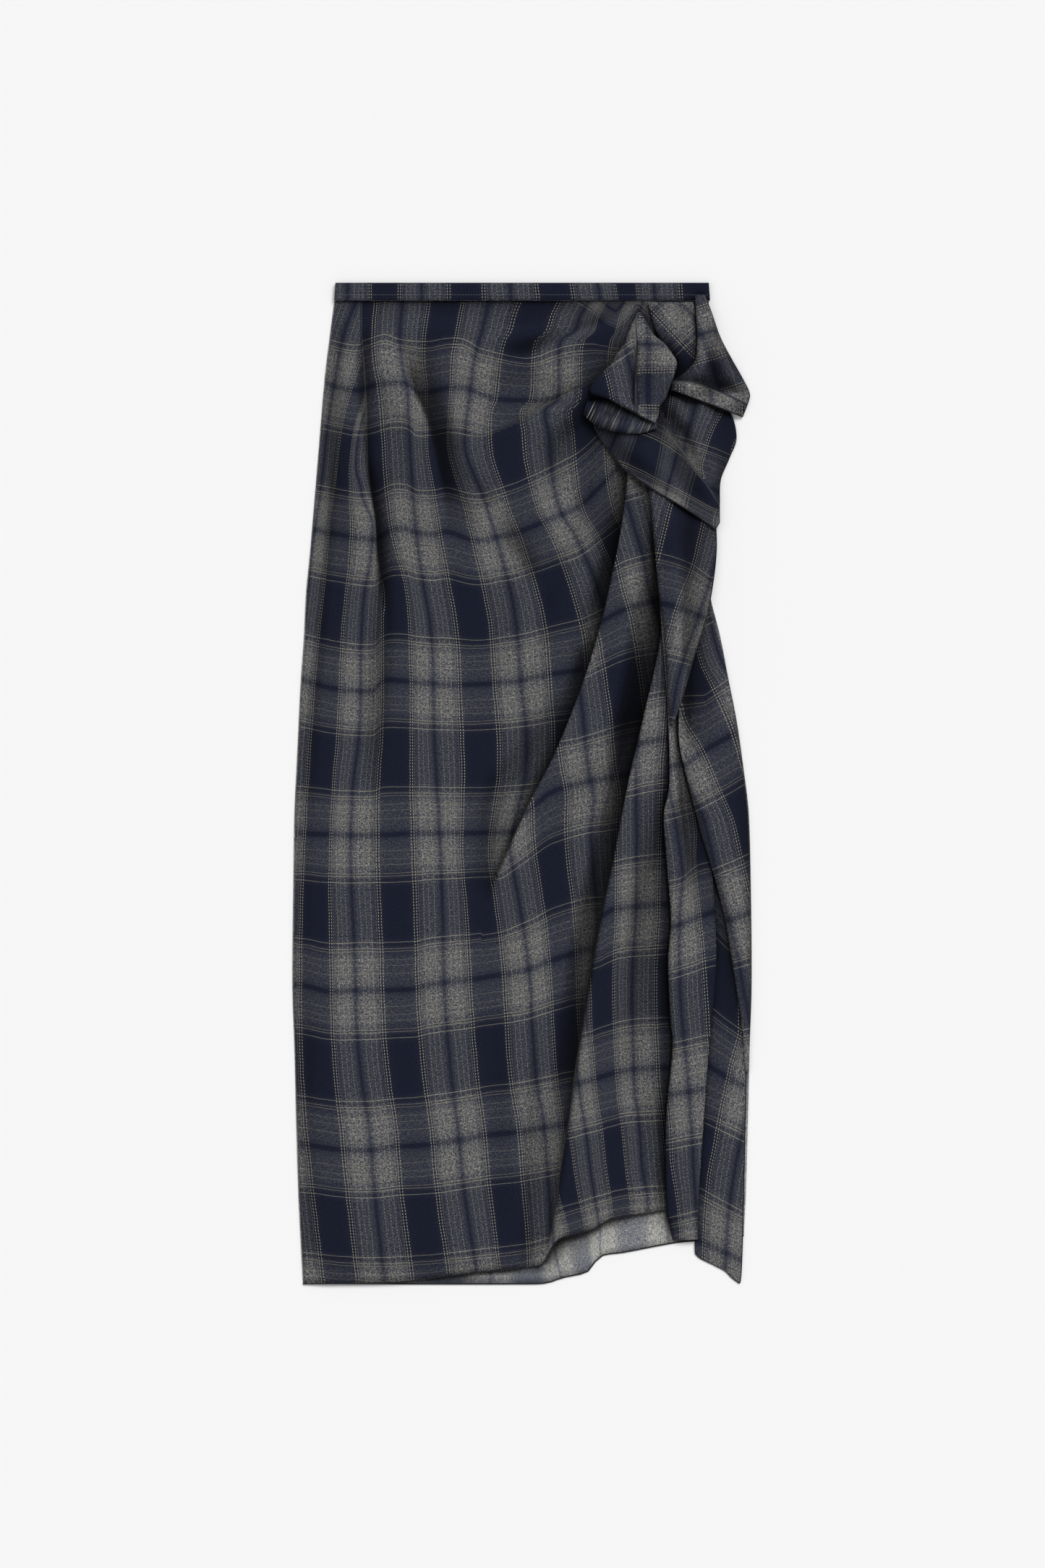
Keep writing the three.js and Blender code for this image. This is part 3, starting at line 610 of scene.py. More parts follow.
TAIL_CLOTH = Chart(
    warp={
        0.3: Table("y x", (640, 945), (698, 927), (764, 911), (830, 893), (930, 868)),
        0.7: Table("y x", (640, 995), (725, 972), (782, 958), (833, 938), (886, 923), (997, 895)),
        1: Table("y x", (640, 1035), (700, 1015), (763, 994), (833, 972), (927, 940), (996, 927)),
    },
    weft={
        0.31: Table("x y", (900, 672), (940, 690), (985, 712)),
        0.69: Table("x y", (911, 765), (940, 774), (960, 782), (982, 798)),
        1: Table("x y", (917, 835), (940, 841), (970, 853), (990, 862)),
        1.25: Table("x y", (925, 900), (958, 909)),
        1.69: Table("x y", (925, 990), (958, 1000)),
    },
)
UNDER_CLOTH = Chart(
    warp={
        0.5: Table("y x", (1430, 1000), (1500, 982), (1557, 970), (1621, 959), (1681, 953)),
        0.7: Table(
            "y x", (1430, 1023), (1450, 1017), (1470, 1011), (1500, 1005), (1525, 999),
            (1557, 993), (1591, 987), (1621, 981), (1651, 978), (1681, 975), (1735, 973),
        ),
        1: Table(
            "y x", (1430, 1057), (1500, 1040), (1555, 1029), (1591, 1021), (1617, 1016),
            (1641, 1012), (1671, 1008), (1692, 1006), (1750, 1003),
        ),
    },
    weft={
        1: Table("x y", (979, 1473), (1005, 1489), (1035, 1505)),
        1.25: Table("x y", (973, 1539), (1034, 1566)),
        1.31: Table("x y", (973, 1552), (1032, 1581)),
        1.69: Table("x y", (966, 1641), (1030, 1676)),
        2: Table("x y", (960, 1712), (1030, 1745)),
    },
)
BAND_FRONT_CLOTH = Chart(
    warp={
        count: Table("y x", (390, top), (417, foot))
        for count, top, foot in (
            (-1, 358, 358), (0, 481, 481), (1, 583, 583), (2, 705, 707), (3, 826, 831),
            (4, 903, 905), (5, 1026, 1028),
        )
    },
    weft={0: Table("x y", (400, 297), (1000, 297)), 1: Table("x y", (400, 511), (1000, 511))},
)


# The back panel's inside, which shows under the front's hem, with its cloth drawn up in waves
BACK_INSIDE = Chart(
    warp={
        **{
            count: Table("y x", (400, column), (1776, column))
            for count, column in (
                (-2, 431), (-1, 555), (0, 679), (0.5, 733), (2, 828), (2.5, 873), (3, 924),
                (4, 1046),
            )
        },
        1: Table("y x", (1700, 762), (1740, 769), (1776, 779)),
        1.5: Table("y x", (1700, 803), (1740, 809), (1776, 816)),
    },
    weft={0: Table("x y", (400, 1655), (1040, 1655)), 1: Table("x y", (400, 2055), (1040, 2055))},
)

# The fall lies on its side, so here the upright lines are the weft's
FALL_CLOTH = Chart(
    warp={
        0.31: Table("y x", (560, 892), (598, 882), (639, 869), (700, 850)),
        0.69: Table("y x", (560, 924), (612, 914), (650, 907), (700, 895)),
        1: Table("y x", (560, 948), (620, 937), (668, 924), (720, 910)),
        1.31: Table("y x", (560, 985), (620, 972), (668, 958), (720, 944)),
    },
    weft={
        0.318: Table("x y", (800, 588), (848, 594), (880, 600), (905, 609), (935, 627), (990, 668)),
        0.682: Table("x y", (800, 622), (850, 636), (887, 652), (916, 668), (940, 680), (990, 706)),
        1: Table("x y", (800, 664), (850, 674), (900, 692), (950, 716), (990, 736)),
    },
)
HANGING_CLOTH = Chart(
    warp={
        -0.3: Table("y x", (530, 932), (570, 926), (620, 920), (700, 918)),
        0: Table("y x", (530, 968), (548, 964), (580, 956), (620, 946), (700, 950)),
        0.3: Table("y x", (530, 1002), (568, 998), (593, 985), (629, 973), (650, 969), (720, 985)),
        0.7: Table("y x", (530, 1042), (568, 1040), (593, 1026), (629, 1012), (720, 1030)),
    },
    weft={
        0.5: Table("x y", (900, 566), (1040, 590)),
        0.69: Table("x y", (900, 600), (940, 604), (1040, 640)),
        1: Table("x y", (900, 650), (940, 660), (1040, 700)),
    },
)
FALL_BEND = Table(
    "y x", (540, 912), (575, 914), (600, 928), (637, 950), (670, 975), (700, 992), (730, 1010)
)


def plain_check(x: np.ndarray, y: np.ndarray) -> np.ndarray:
    return np.stack([(x + WARP_START) / WARP_REPEAT, (TOP - y + WEFT_START) / WEFT_REPEAT], -1)


def left_petal_cloth(x: np.ndarray, y: np.ndarray) -> np.ndarray:
    column, row = pixels(x, y)
    left = np.stack(
        [
            ((column - 865.7) * 0.975 - (row - 487.5) * 0.22) / 110,
            0.26 + ((column - 868.8) * 0.572 + (row - 478.6) * 0.82) / WEFT_PIXELS,
        ],
        -1,
    )
    right = np.stack([(row - 477.7) / WARP_PIXELS, (column - 896) / WEFT_PIXELS], -1)
    return mix(left, right, ease(876, 882, column))


def right_petal_cloth(x: np.ndarray, y: np.ndarray) -> np.ndarray:
    column, row = pixels(x, y)
    across = ((column - 985) * 0.34 + (row - 458) * 0.94) / 118
    down = ((column - 985) * 0.94 - (row - 458) * 0.34) / WEFT_PIXELS + 0.08
    turned = np.stack([0.05 + (column - 990) / 150, 0.2 + (row - 560) / WEFT_PIXELS], -1)
    lip = ease(0, 5, row - 528 - np.maximum(0, column - 965) * 0.42)
    return mix(np.stack([across, down], -1), turned, lip)


def middle_petal_cloth(x: np.ndarray, y: np.ndarray) -> np.ndarray:
    column, row = pixels(x, y)
    across = 0.3 - ((column - 888) * 0.73 - (row - 417) * 0.68) / WARP_PIXELS
    down = 0.15 + ((column - 930) * 0.68 + (row - 450) * 0.73) / WEFT_PIXELS
    return np.stack([across, down], -1)


class Pile:
    """How high the laid pieces reach over the surface, kept in square cells."""

    def __init__(self, cell: float = 2.0, half_x: float = 244.0, half_y: float = 500.0) -> None:
        """Starts with nothing on the surface."""
        self.cell, self.half_x, self.half_y = cell, half_x, half_y
        self.tops = np.zeros((int(2 * half_y / cell), int(2 * half_x / cell)))

    def reaching(self, x: np.ndarray, y: np.ndarray, reach: float) -> np.ndarray:
        """The highest top within reach of each point, read smoothly between cells."""
        span = math.ceil(reach / self.cell)
        tops = self.tops
        for axis in (0, 1):
            shifted = [np.roll(tops, shift, axis) for shift in range(-span, span + 1)]
            tops = np.max(shifted, axis=0)
        column = np.clip((x + self.half_x) / self.cell - 0.5, 0, tops.shape[1] - 1.001)
        row = np.clip((y + self.half_y) / self.cell - 0.5, 0, tops.shape[0] - 1.001)
        c, r = column.astype(int), row.astype(int)
        s, t = column - c, row - r
        low = tops[r, c] * (1 - s) + tops[r, c + 1] * s
        high = tops[r + 1, c] * (1 - s) + tops[r + 1, c + 1] * s
        return low * (1 - t) + high * t

    def hidden_sky(self, points: np.ndarray, far: float = 26.0, ways: int = 12) -> np.ndarray:
        """How much of the light from above the cloth around keeps from each point.

        Args:
            points: places in mm, one to a row.
            far: how far away cloth still counts, in mm.
            ways: how many directions are looked in.

        Returns:
            The share that is kept away, from 0 to 1.
        """
        tops = sum(np.roll(self.tops, (i, j), (0, 1)) for i in (-1, 0, 1) for j in (-1, 0, 1)) / 9
        hidden = np.zeros(len(points))
        for angle in np.arange(ways) * 2 * np.pi / ways:
            steepest = np.zeros(len(points))
            for distance in (0.2 * far, 0.35 * far, 0.6 * far, far):
                column = (points[:, 0] + distance * np.cos(angle) + self.half_x) / self.cell
                row = (points[:, 1] + distance * np.sin(angle) + self.half_y) / self.cell
                column = np.clip(column, 0, tops.shape[1] - 1).astype(int)
                row = np.clip(row, 0, tops.shape[0] - 1).astype(int)
                slope = (tops[row, column] - points[:, 2] - 0.5) / distance
                steepest = np.maximum(steepest, slope)
            hidden += np.minimum(steepest, 1)
        return hidden / ways

    def add(self, points: np.ndarray, thickness: float) -> None:
        """Adds a grid of points, with its four-sided cells filled in."""
        steps = 4
        for s in np.arange(steps + 1) / steps:
            for t in np.arange(steps + 1) / steps:
                filled = (1 - s) * ((1 - t) * points[:-1, :-1] + t * points[:-1, 1:]) + s * (
                    (1 - t) * points[1:, :-1] + t * points[1:, 1:]
                )
                c = ((filled[..., 0] + self.half_x) / self.cell).astype(int)
                r = ((filled[..., 1] + self.half_y) / self.cell).astype(int)
                np.maximum.at(self.tops, (r, c), filled[..., 2] + thickness / 2)

    def lay(self, points: np.ndarray, reach: float, passes: int) -> np.ndarray:
        """Lays a grid of points on the pile, drawn tighter over what it lies on at every pass.

        Args:
            points: the grid, of which x and y are read.
            reach: how far around a point the cloth has to clear what is under it, in mm.
            passes: how many times the cloth is drawn tighter.

        Returns:
            The height of the middle of the cloth at each point.
        """
        floor = self.reaching(*plan(points), reach) + SEAM_GAP + CLOTH / 2
        level = floor.copy()
        for draw in range(passes):
            padded = np.pad(level, 1, mode="edge")
            around = padded[:-2, 1:-1] + padded[2:, 1:-1] + padded[1:-1, :-2] + padded[1:-1, 2:]
            level = np.maximum(floor, around / 4) if draw < passes - 3 else (level + around / 4) / 2
        return level


def linear(red: float, green: float, blue: float) -> tuple[float, float, float, float]:
    """A colour seen in the photograph, in the linear values that shaders take."""
    values = [c / 255 for c in (red, green, blue)]
    return (*[c / 12.92 if c <= 0.04045 else ((c + 0.055) / 1.055) ** 2.4 for c in values], 1.0)


class Shader:
    """Builds the node tree of one material."""

    def __init__(self, name: str, roughness: float, sheen: float = 0.0) -> None:
        """Starts a material with a principled surface.

        Args:
            name: name of the material.
            roughness: its roughness, the same all over.
            sheen: weight of the soft light on its fibres.
        """
        self.material = bpy.data.materials.new(name)
        self.material.use_nodes = True
        self.tree = self.material.node_tree
        self.surface = self.tree.nodes["Principled BSDF"]
        self.surface.inputs["Roughness"].default_value = roughness
        self.surface.inputs["Specular IOR Level"].default_value = 0.08
        self.surface.inputs["Sheen Weight"].default_value = sheen
        self.surface.inputs["Sheen Roughness"].default_value = 0.45

    def link(self, source: bpy.types.NodeSocket, target: bpy.types.NodeSocket) -> None:
        """Joins two sockets."""
        self.tree.links.new(source, target)

    def value(self, operation: str, *inputs: object, clamp: bool = False) -> bpy.types.NodeSocket:
        """Adds a math node.

        Args:
            operation: the node's operation.
            inputs: numbers or sockets, in the node's order.
            clamp: whether the result is kept between 0 and 1.

        Returns:
            The node's output.
        """
        node = self.tree.nodes.new("ShaderNodeMath")
        node.operation, node.use_clamp = operation, clamp
        for socket, given in zip(node.inputs, inputs):
            if isinstance(given, bpy.types.NodeSocket):
                self.link(given, socket)
            else:
                socket.default_value = given
        return node.outputs[0]

    def times(self, *factors: object, clamp: bool = False) -> bpy.types.NodeSocket:
        """Multiplies two numbers or sockets."""
        return self.value("MULTIPLY", *factors, clamp=clamp)

    def plus(self, *parts: object, clamp: bool = False) -> bpy.types.NodeSocket:
        """Adds two numbers or sockets."""
        return self.value("ADD", *parts, clamp=clamp)

    def minus(self, *parts: object) -> bpy.types.NodeSocket:
        """Takes the second of two numbers or sockets from the first."""
        return self.value("SUBTRACT", *parts)

    def ramp(
        self, position: bpy.types.NodeSocket, stops: list[tuple[float, object]], sharp: bool = False
    ) -> bpy.types.NodeSocket:
        """Adds a colour ramp.

        Args:
            position: where the ramp is read, from 0 to 1.
            stops: positions with a grey value or a colour each.
            sharp: whether the colour jumps from stop to stop.

        Returns:
            The ramp's colour.
        """
        node = self.tree.nodes.new("ShaderNodeValToRGB")
        node.color_ramp.interpolation = "CONSTANT" if sharp else "LINEAR"
        elements = node.color_ramp.elements
        while len(elements) < len(stops):
            elements.new(1.0)
        for element, (place, shade) in zip(elements, stops):
            element.position = place
            element.color = shade if isinstance(shade, tuple) else (shade, shade, shade, 1.0)
        self.link(position, node.inputs["Fac"])
        return node.outputs["Color"]

    def blend(
        self, share: object, first: object, second: object, kind: str = "MIX"
    ) -> bpy.types.NodeSocket:
        """Adds a node that mixes two colours by a share.

        Args:
            share: a number or a socket.
            first: a colour or a socket.
            second: a colour or a socket.
            kind: the way that they mix.

        Returns:
            The mixed colour.
        """
        node = self.tree.nodes.new("ShaderNodeMix")
        node.data_type, node.blend_type = "RGBA", kind
        sockets = (node.inputs[0], node.inputs[6], node.inputs[7])
        for socket, given in zip(sockets, (share, first, second)):
            if isinstance(given, bpy.types.NodeSocket):
                self.link(given, socket)
            else:
                socket.default_value = given
        return node.outputs[2]

    def noise(
        self, place: bpy.types.NodeSocket, scale: float, detail: float = 2.0
    ) -> bpy.types.NodeSocket:
        """Adds soft noise of a scale, in units of the place, with its detail."""
        node = self.tree.nodes.new("ShaderNodeTexNoise")
        node.inputs["Scale"].default_value = scale
        node.inputs["Detail"].default_value = detail
        self.link(place, node.inputs["Vector"])
        return node.outputs["Fac"]

    def stretched(
        self, place: bpy.types.NodeSocket, scale: tuple[float, float, float]
    ) -> bpy.types.NodeSocket:
        """Stretches a place by three factors."""
        node = self.tree.nodes.new("ShaderNodeMapping")
        node.inputs["Scale"].default_value = scale
        self.link(place, node.inputs["Vector"])
        return node.outputs["Vector"]

    def bump(self, height: bpy.types.NodeSocket, strength: float, distance: float) -> None:
        """Adds relief to the surface, with its distance in metres."""
        node = self.tree.nodes.new("ShaderNodeBump")
        node.inputs["Strength"].default_value = strength
        node.inputs["Distance"].default_value = distance
        self.link(height, node.inputs["Height"])
        self.link(node.outputs["Normal"], self.surface.inputs["Normal"])


# How light the yarns are between a thin navy line, at 0, and the middle of a navy block, at 0.5
WARP_SHADOW = (
    (0, 0.2), (0.014, 0.28), (0.022, 0.6), (0.05, 0.86), (0.09, 1), (0.2, 1), (0.24, 0.76),
    (0.27, 0.62), (0.292, 0.4), (0.303, 0.2), (0.316, 0.3), (0.333, 0.14), (0.36, 0.05), (0.42, 0),
)
WEFT_SHADOW = (
    (0, 0.05), (0.013, 0.1), (0.02, 0.6), (0.045, 0.85), (0.09, 0.95), (0.2, 0.95), (0.23, 0.68),
    (0.26, 0.52), (0.276, 0.42), (0.291, 0.12), (0.31, 0.18), (0.325, 0.1), (0.345, 0),
)
# Where thin ecru yarns lie there, with how strong each one is
WARP_LINES = ((0.088, 0.45), (0.150, 0.4), (0.206, 0.45), (0.262, 0.3), (0.287, 1), (0.318, 1))
WEFT_LINES = (
    (0.105, 0.4), (0.158, 0.4), (0.195, 0.4), (0.250, 0.65), (0.267, 0.65), (0.307, 0.9),
)
# Where nearly black yarns lie beside the double lines
WARP_GAPS = ((0.275, 0.6), (0.302, 0.9))
WEFT_GAPS = ((0.258, 0.5), (0.285, 0.6))
WARP_LINE, WEFT_LINE = 0.0038, 0.0022  # width of a thin line, in repeats
DASH = 2.9  # from one dash of an ecru line to the next, in mm
LIGHT_SHARE = 0.6  # of the light that the ramp of shades spans


@dataclass(frozen=True)
class CheckCloth:
    """The finish of the woven check, on its right or its wrong side."""

    name: str
    side: Side = Side.RIGHT
    navy: tuple[int, int, int] = (22, 25, 40)
    slate: tuple[int, int, int] = (49, 51, 62)
    grey: tuple[int, int, int] = (90, 90, 91)
    pale: tuple[int, int, int] = (154, 150, 138)
    ecru: tuple[int, int, int] = (184, 180, 160)
    gap: tuple[int, int, int] = (26, 22, 25)
    fade: float = 1.0

    @staticmethod
    def _shadow(shader: Shader, place: object, stops: tuple[tuple[float, float], ...]) -> object:
        """The check's shading, from a thin navy line to the middle of the next navy block."""
        doubled = shader.times(shader.value("PINGPONG", place, 0.5), 2.0)
        return shader.ramp(doubled, [(2 * at, shade) for at, shade in stops])

    @staticmethod
    def _lines(
        shader: Shader, place: object, lines: tuple[tuple[float, float], ...], width: float
    ) -> object:
        """Thin lines on both sides of each thin navy line, at places with a strength each."""
        doubled = shader.times(shader.value("PINGPONG", place, 0.5), 2.0)
        stops = [(0.0, 0.0)]
        for at, strength in lines:
            stops += [(2 * at - 2 * width, 0.0), (2 * at - width / 2, strength)]
            stops += [(2 * at + width / 2, strength), (2 * at + 2 * width, 0.0)]
        return shader.ramp(doubled, stops)

    def build(self) -> bpy.types.Material:
        """Makes the material, which reads the cloth's own map, in repeats of the check."""
        shader = Shader(self.name, roughness=0.9, sheen=0.02)
        tree = shader.tree
        cloth = tree.nodes.new("ShaderNodeUVMap")
        cloth.uv_map = "cloth"
        split = tree.nodes.new("ShaderNodeSeparateXYZ")
        shader.link(cloth.outputs["UV"], split.inputs["Vector"])
        u, v = split.outputs["X"], split.outputs["Y"]
        in_mm = shader.stretched(cloth.outputs["UV"], (WARP_REPEAT, WEFT_REPEAT, 1.0))

        # the yarns wander a little, so no line is ruler straight
        wander = shader.minus(shader.noise(in_mm, 0.035, 1.0), 0.5)
        u = shader.plus(u, shader.times(wander, 0.016))
        v = shader.plus(v, shader.times(wander, 0.009))

        warp = self._shadow(shader, u, WARP_SHADOW)
        weft = self._shadow(shader, v, WEFT_SHADOW)
        warp_lines = self._lines(shader, u, WARP_LINES, WARP_LINE)
        weft_lines = self._lines(shader, v, WEFT_LINES, WEFT_LINE)

        # how light the crossing of a warp and a weft yarn is, with flecks of melange yarn
        speck = shader.noise(shader.stretched(in_mm, (1.2, 1.2, 1.0)), 1.0, 2.0)
        mottle = shader.noise(in_mm, 0.5, 1.0)
        slub_down = shader.noise(shader.stretched(in_mm, (2.2, 0.25, 1.0)), 1.0, 1.0)
        slub_across = shader.noise(shader.stretched(in_mm, (0.25, 2.2, 1.0)), 1.0, 1.0)
        weave = tree.nodes.new("ShaderNodeTexChecker")
        weave.inputs["Scale"].default_value = 1.0
        weave.inputs["Color1"].default_value = (1, 1, 1, 1)
        weave.inputs["Color2"].default_value = (0, 0, 0, 1)
        shader.link(shader.stretched(in_mm, (1.45, 1.45, 0.0)), weave.inputs["Vector"])
        over = shader.minus(weave.outputs["Fac"], 0.5)
        both = shader.plus(shader.times(warp, 0.53), shader.times(weft, 0.47))
        apart = shader.times(shader.minus(warp, weft), over)
        light = shader.plus(both, shader.times(apart, 0.25))
        for grain, depth, yarns in (
            (speck, 2.0, both), (mottle, 1.4, both), (slub_down, 1.0, warp),
            (slub_across, 1.0, weft),
        ):
            centred = shader.minus(grain, 0.5)
            amount = shader.times(centred, shader.plus(yarns, 0.16))
            light = shader.plus(light, shader.times(amount, depth * self.fade))

        # thin ecru lines: the warp's are broken up by the weft that crosses them
        dash = shader.value("SINE", shader.times(v, 2 * math.pi * WEFT_REPEAT / DASH))
        dash = shader.plus(shader.times(dash, 1.2), 0.5, clamp=True)
        warp_lines = shader.times(warp_lines, dash)
        uneven = shader.plus(shader.times(slub_across, 1.2), 0.1)
        seen = shader.plus(shader.times(warp, 0.45), 0.55)
        weft_lines = shader.times(weft_lines, shader.times(uneven, seen))
        strength = 1.0 if self.side is Side.RIGHT else 0.5
        lines = shader.times(shader.value("MAXIMUM", warp_lines, weft_lines), strength)
        lines = shader.times(lines, shader.plus(speck, 0.5), clamp=True)

        shades = [self.navy, self.slate, self.grey, self.pale]
        stops = [(place, linear(*shade)) for place, shade in zip((0.0, 0.3, 0.6, 1.0), shades)]
        colour = shader.ramp(shader.times(light, LIGHT_SHARE), stops)
        cool = shader.noise(in_mm, 0.02, 2.0)
        colour = shader.blend(cool, colour, (0.97, 0.99, 1.06, 1), "MULTIPLY")
        flecks = shader.times(shader.minus(speck, 0.56), 3.0, clamp=True)
        flecks = shader.times(flecks, shader.times(both, 0.5))
        colour = shader.blend(flecks, colour, linear(*self.ecru))
        gaps = shader.value(
            "MAXIMUM", self._lines(shader, u, WARP_GAPS, WARP_LINE),
            self._lines(shader, v, WEFT_GAPS, WEFT_LINE),
        )
        colour = shader.blend(shader.times(gaps, strength), colour, linear(*self.gap))
        colour = shader.blend(lines, colour, linear(*self.ecru))
        # painted shade: the colour is darkened in the folds and under overlapping cloth, by how
        # much sky the cloth around hides from each point
        painted_fold_shade = tree.nodes.new("ShaderNodeAttribute")
        painted_fold_shade.attribute_name = "painted_fold_shade"
        painted_shade_stops = [(0.0, 1.0), (0.05, 0.96), (0.15, 0.68), (0.3, 0.32), (0.45, 0.14), (0.7, 0.06)]
        painted_shade_factor = shader.ramp(painted_fold_shade.outputs["Fac"], painted_shade_stops)
        colour = shader.blend(1.0, colour, painted_shade_factor, "MULTIPLY")
        shader.link(colour, shader.surface.inputs["Base Color"])

        relief = shader.plus(shader.times(weave.outputs["Fac"], 0.4), slub_down)
        relief = shader.plus(relief, shader.times(speck, 0.8))
        shader.bump(relief, 0.45, 0.0005)
        return shader.material


@dataclass(frozen=True)
class Thread:
    """The finish of sewing thread or of a rolled edge."""

    name: str
    colour: tuple[int, int, int]

    def build(self) -> bpy.types.Material:
        """Makes the material, with fine twisted strands in its relief and colour."""
        shader = Shader(self.name, roughness=0.7, sheen=0.2)
        place = shader.tree.nodes.new("ShaderNodeTexCoord").outputs["Object"]
        strand = shader.noise(place, 2600.0, 2.0)
        dark = tuple(c * 0.6 for c in linear(*self.colour)[:3]) + (1.0,)
        colour = shader.blend(strand, dark, linear(*self.colour))
        shader.link(colour, shader.surface.inputs["Base Color"])
        shader.bump(strand, 0.3, 0.0002)
        return shader.material


@dataclass(frozen=True)
class Finishes:
    """The materials of the skirt."""

    right: bpy.types.Material
    wrong: bpy.types.Material
    thread: bpy.types.Material
    roll: bpy.types.Material
    stitch: bpy.types.Material

    @classmethod
    def build(cls) -> "Finishes":
        """Makes every material once."""
        return cls(
            right=CheckCloth("check_right_side").build(),
            wrong=CheckCloth(
                "check_wrong_side", Side.WRONG, navy=(80, 83, 95), slate=(122, 124, 128),
                grey=(168, 166, 158), pale=(206, 203, 192), gap=(90, 80, 78), fade=1.2,
            ).build(),
            thread=Thread("seam_thread", (34, 36, 48)).build(),
            roll=Thread("rolled_edge", (22, 22, 28)).build(),
            stitch=Thread("edge_stitch", (122, 124, 120)).build(),
        )


@dataclass
class Cloth:
    """One piece of cloth: a grid of points in mm, whose rows run down the cloth, and its check."""

    name: str
    points: np.ndarray
    check: np.ndarray
    thickness: float = CLOTH
    flat_under: bool = False
    inside_up: bool = False
    check_above: np.ndarray | None = None

    def normals(self) -> np.ndarray:
        """The direction that the right side faces at each point."""
        across = np.gradient(self.points, axis=1)
        along = np.gradient(self.points, axis=0)
        out = np.cross(along, across)
        return out / np.maximum(np.linalg.norm(out, axis=-1, keepdims=True), 1e-9)

    def area(self) -> float:
        """The area of the cloth, in square metres."""
        across = np.diff(self.points, axis=1)[:-1]
        along = np.diff(self.points, axis=0)[:, :-1]
        return float(np.linalg.norm(np.cross(across, along), axis=-1).sum()) * METRE**2

    def build(self, finishes: Finishes) -> bpy.types.Object:
        """Makes the wall of the cloth as an object, with its check as a map.

        Args:
            finishes: the skirt's materials.

        Returns:
            The object, which rides on the skirt's one body.
        """
        rows, columns = self.points.shape[:2]
        out = self.normals()
        if self.flat_under:
            out = np.broadcast_to(np.array([0.0, 0.0, 1.0]), out.shape)
        upper = self.points + out * self.thickness / 2
        lower = self.points - out * self.thickness / 2
        vertices = np.concatenate([upper.reshape(-1, 3), lower.reshape(-1, 3)]) * METRE
        index = np.arange(rows * columns).reshape(rows, columns)
        quads = np.stack(
            [index[:-1, :-1], index[1:, :-1], index[1:, 1:], index[:-1, 1:]], -1
        ).reshape(-1, 4)
        under = quads[:, ::-1] + rows * columns
        rim = np.concatenate([index[0, ::-1], index[1:, 0], index[-1, 1:], index[-2:0:-1, -1]])
        ahead = np.roll(rim, -1)
        edge = np.stack([rim, rim + rows * columns, ahead + rows * columns, ahead], -1)
        faces = np.concatenate([quads, under, edge])
        mesh = bpy.data.meshes.new(self.name)
        mesh.from_pydata(vertices.tolist(), [], faces.tolist())
        loops = np.empty(len(mesh.loops), int)
        mesh.loops.foreach_get("vertex_index", loops)
        above = self.check if self.check_above is None else self.check_above
        check = np.concatenate([above.reshape(-1, 2), self.check.reshape(-1, 2)])
        uv = mesh.uv_layers.new(name="cloth")
        uv.data.foreach_set("uv", check[loops].astype(np.float32).ravel())
        sides = [finishes.right, finishes.wrong]
        for material in reversed(sides) if self.inside_up else sides:
            mesh.materials.append(material)
        slots = np.zeros(len(faces), np.int32)
        slots[len(quads) : 2 * len(quads)] = 1
        mesh.polygons.foreach_set("material_index", slots)
        mesh.polygons.foreach_set("use_smooth", np.ones(len(faces), bool))
        mesh.validate()
        mesh.update()
        piece = bpy.data.objects.new(self.name, mesh)
        bpy.context.scene.collection.objects.link(piece)
        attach(piece, "root")
        return piece


@dataclass(frozen=True)
class Cut:
    """The flat cut of a piece: its size in metres, how it is held and what it lies on."""

    width: float
    length: float
    held: str = "laid"
    rests_on: tuple[str, ...] = ()


@dataclass
class Skirt:
    """What the sub-assemblies share: the pile that they lie on, the finishes and the edges."""

    finishes: Finishes
    pile: Pile = field(default_factory=Pile)
    grids: dict[str, np.ndarray] = field(default_factory=dict)
    pieces: list[bpy.types.Object] = field(default_factory=list)

    def paint_fold_shade(self, strength: float = 1.0) -> None:
        """Marks painted shade: how deep the cloth lies in its folds and under the cloth around,
        which the material darkens as shade.

        Args:
            strength: a factor on the painted shade, which never lowers what a piece has already.
        """
        for piece in self.pieces:
            points = np.empty(len(piece.data.vertices) * 3)
            piece.data.vertices.foreach_get("co", points)
            share = self.pile.hidden_sky(points.reshape(-1, 3) / METRE)
            held = np.zeros(len(share), np.float32)
            mark = piece.data.attributes.get("painted_fold_shade")
            if mark:
                mark.data.foreach_get("value", held)
            else:
                mark = piece.data.attributes.new("painted_fold_shade", "FLOAT", "POINT")
            mark.data.foreach_set("value", np.maximum(held, (share * strength).astype(np.float32)))

    def dress(self, cloth: Cloth, cut: Cut, slot: str, stand_in: str) -> bpy.types.Object:
        """Builds a piece of cloth, lays it on the pile and stands it in for its solid.

        Args:
            cloth: the piece's grid and check.
            cut: its flat cut; not used.
            slot: the record's material slot; not used.
            stand_in: the node of the solid that it replaces.

        Returns:
            The piece.
        """
        piece = cloth.build(self.finishes)
        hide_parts(stand_in)
        self.pile.add(cloth.points, cloth.thickness)
        self.grids[cloth.name] = cloth.points
        self.pieces.append(piece)
        low, high = cloth.points.min((0, 1)), cloth.points.max((0, 1))
        log.info(
            "%s: %d points, %.3f m2 of cloth, z %.1f to %.1f mm",
            cloth.name, cloth.points.size // 3, cloth.area(), low[2], high[2],
        )
        return piece


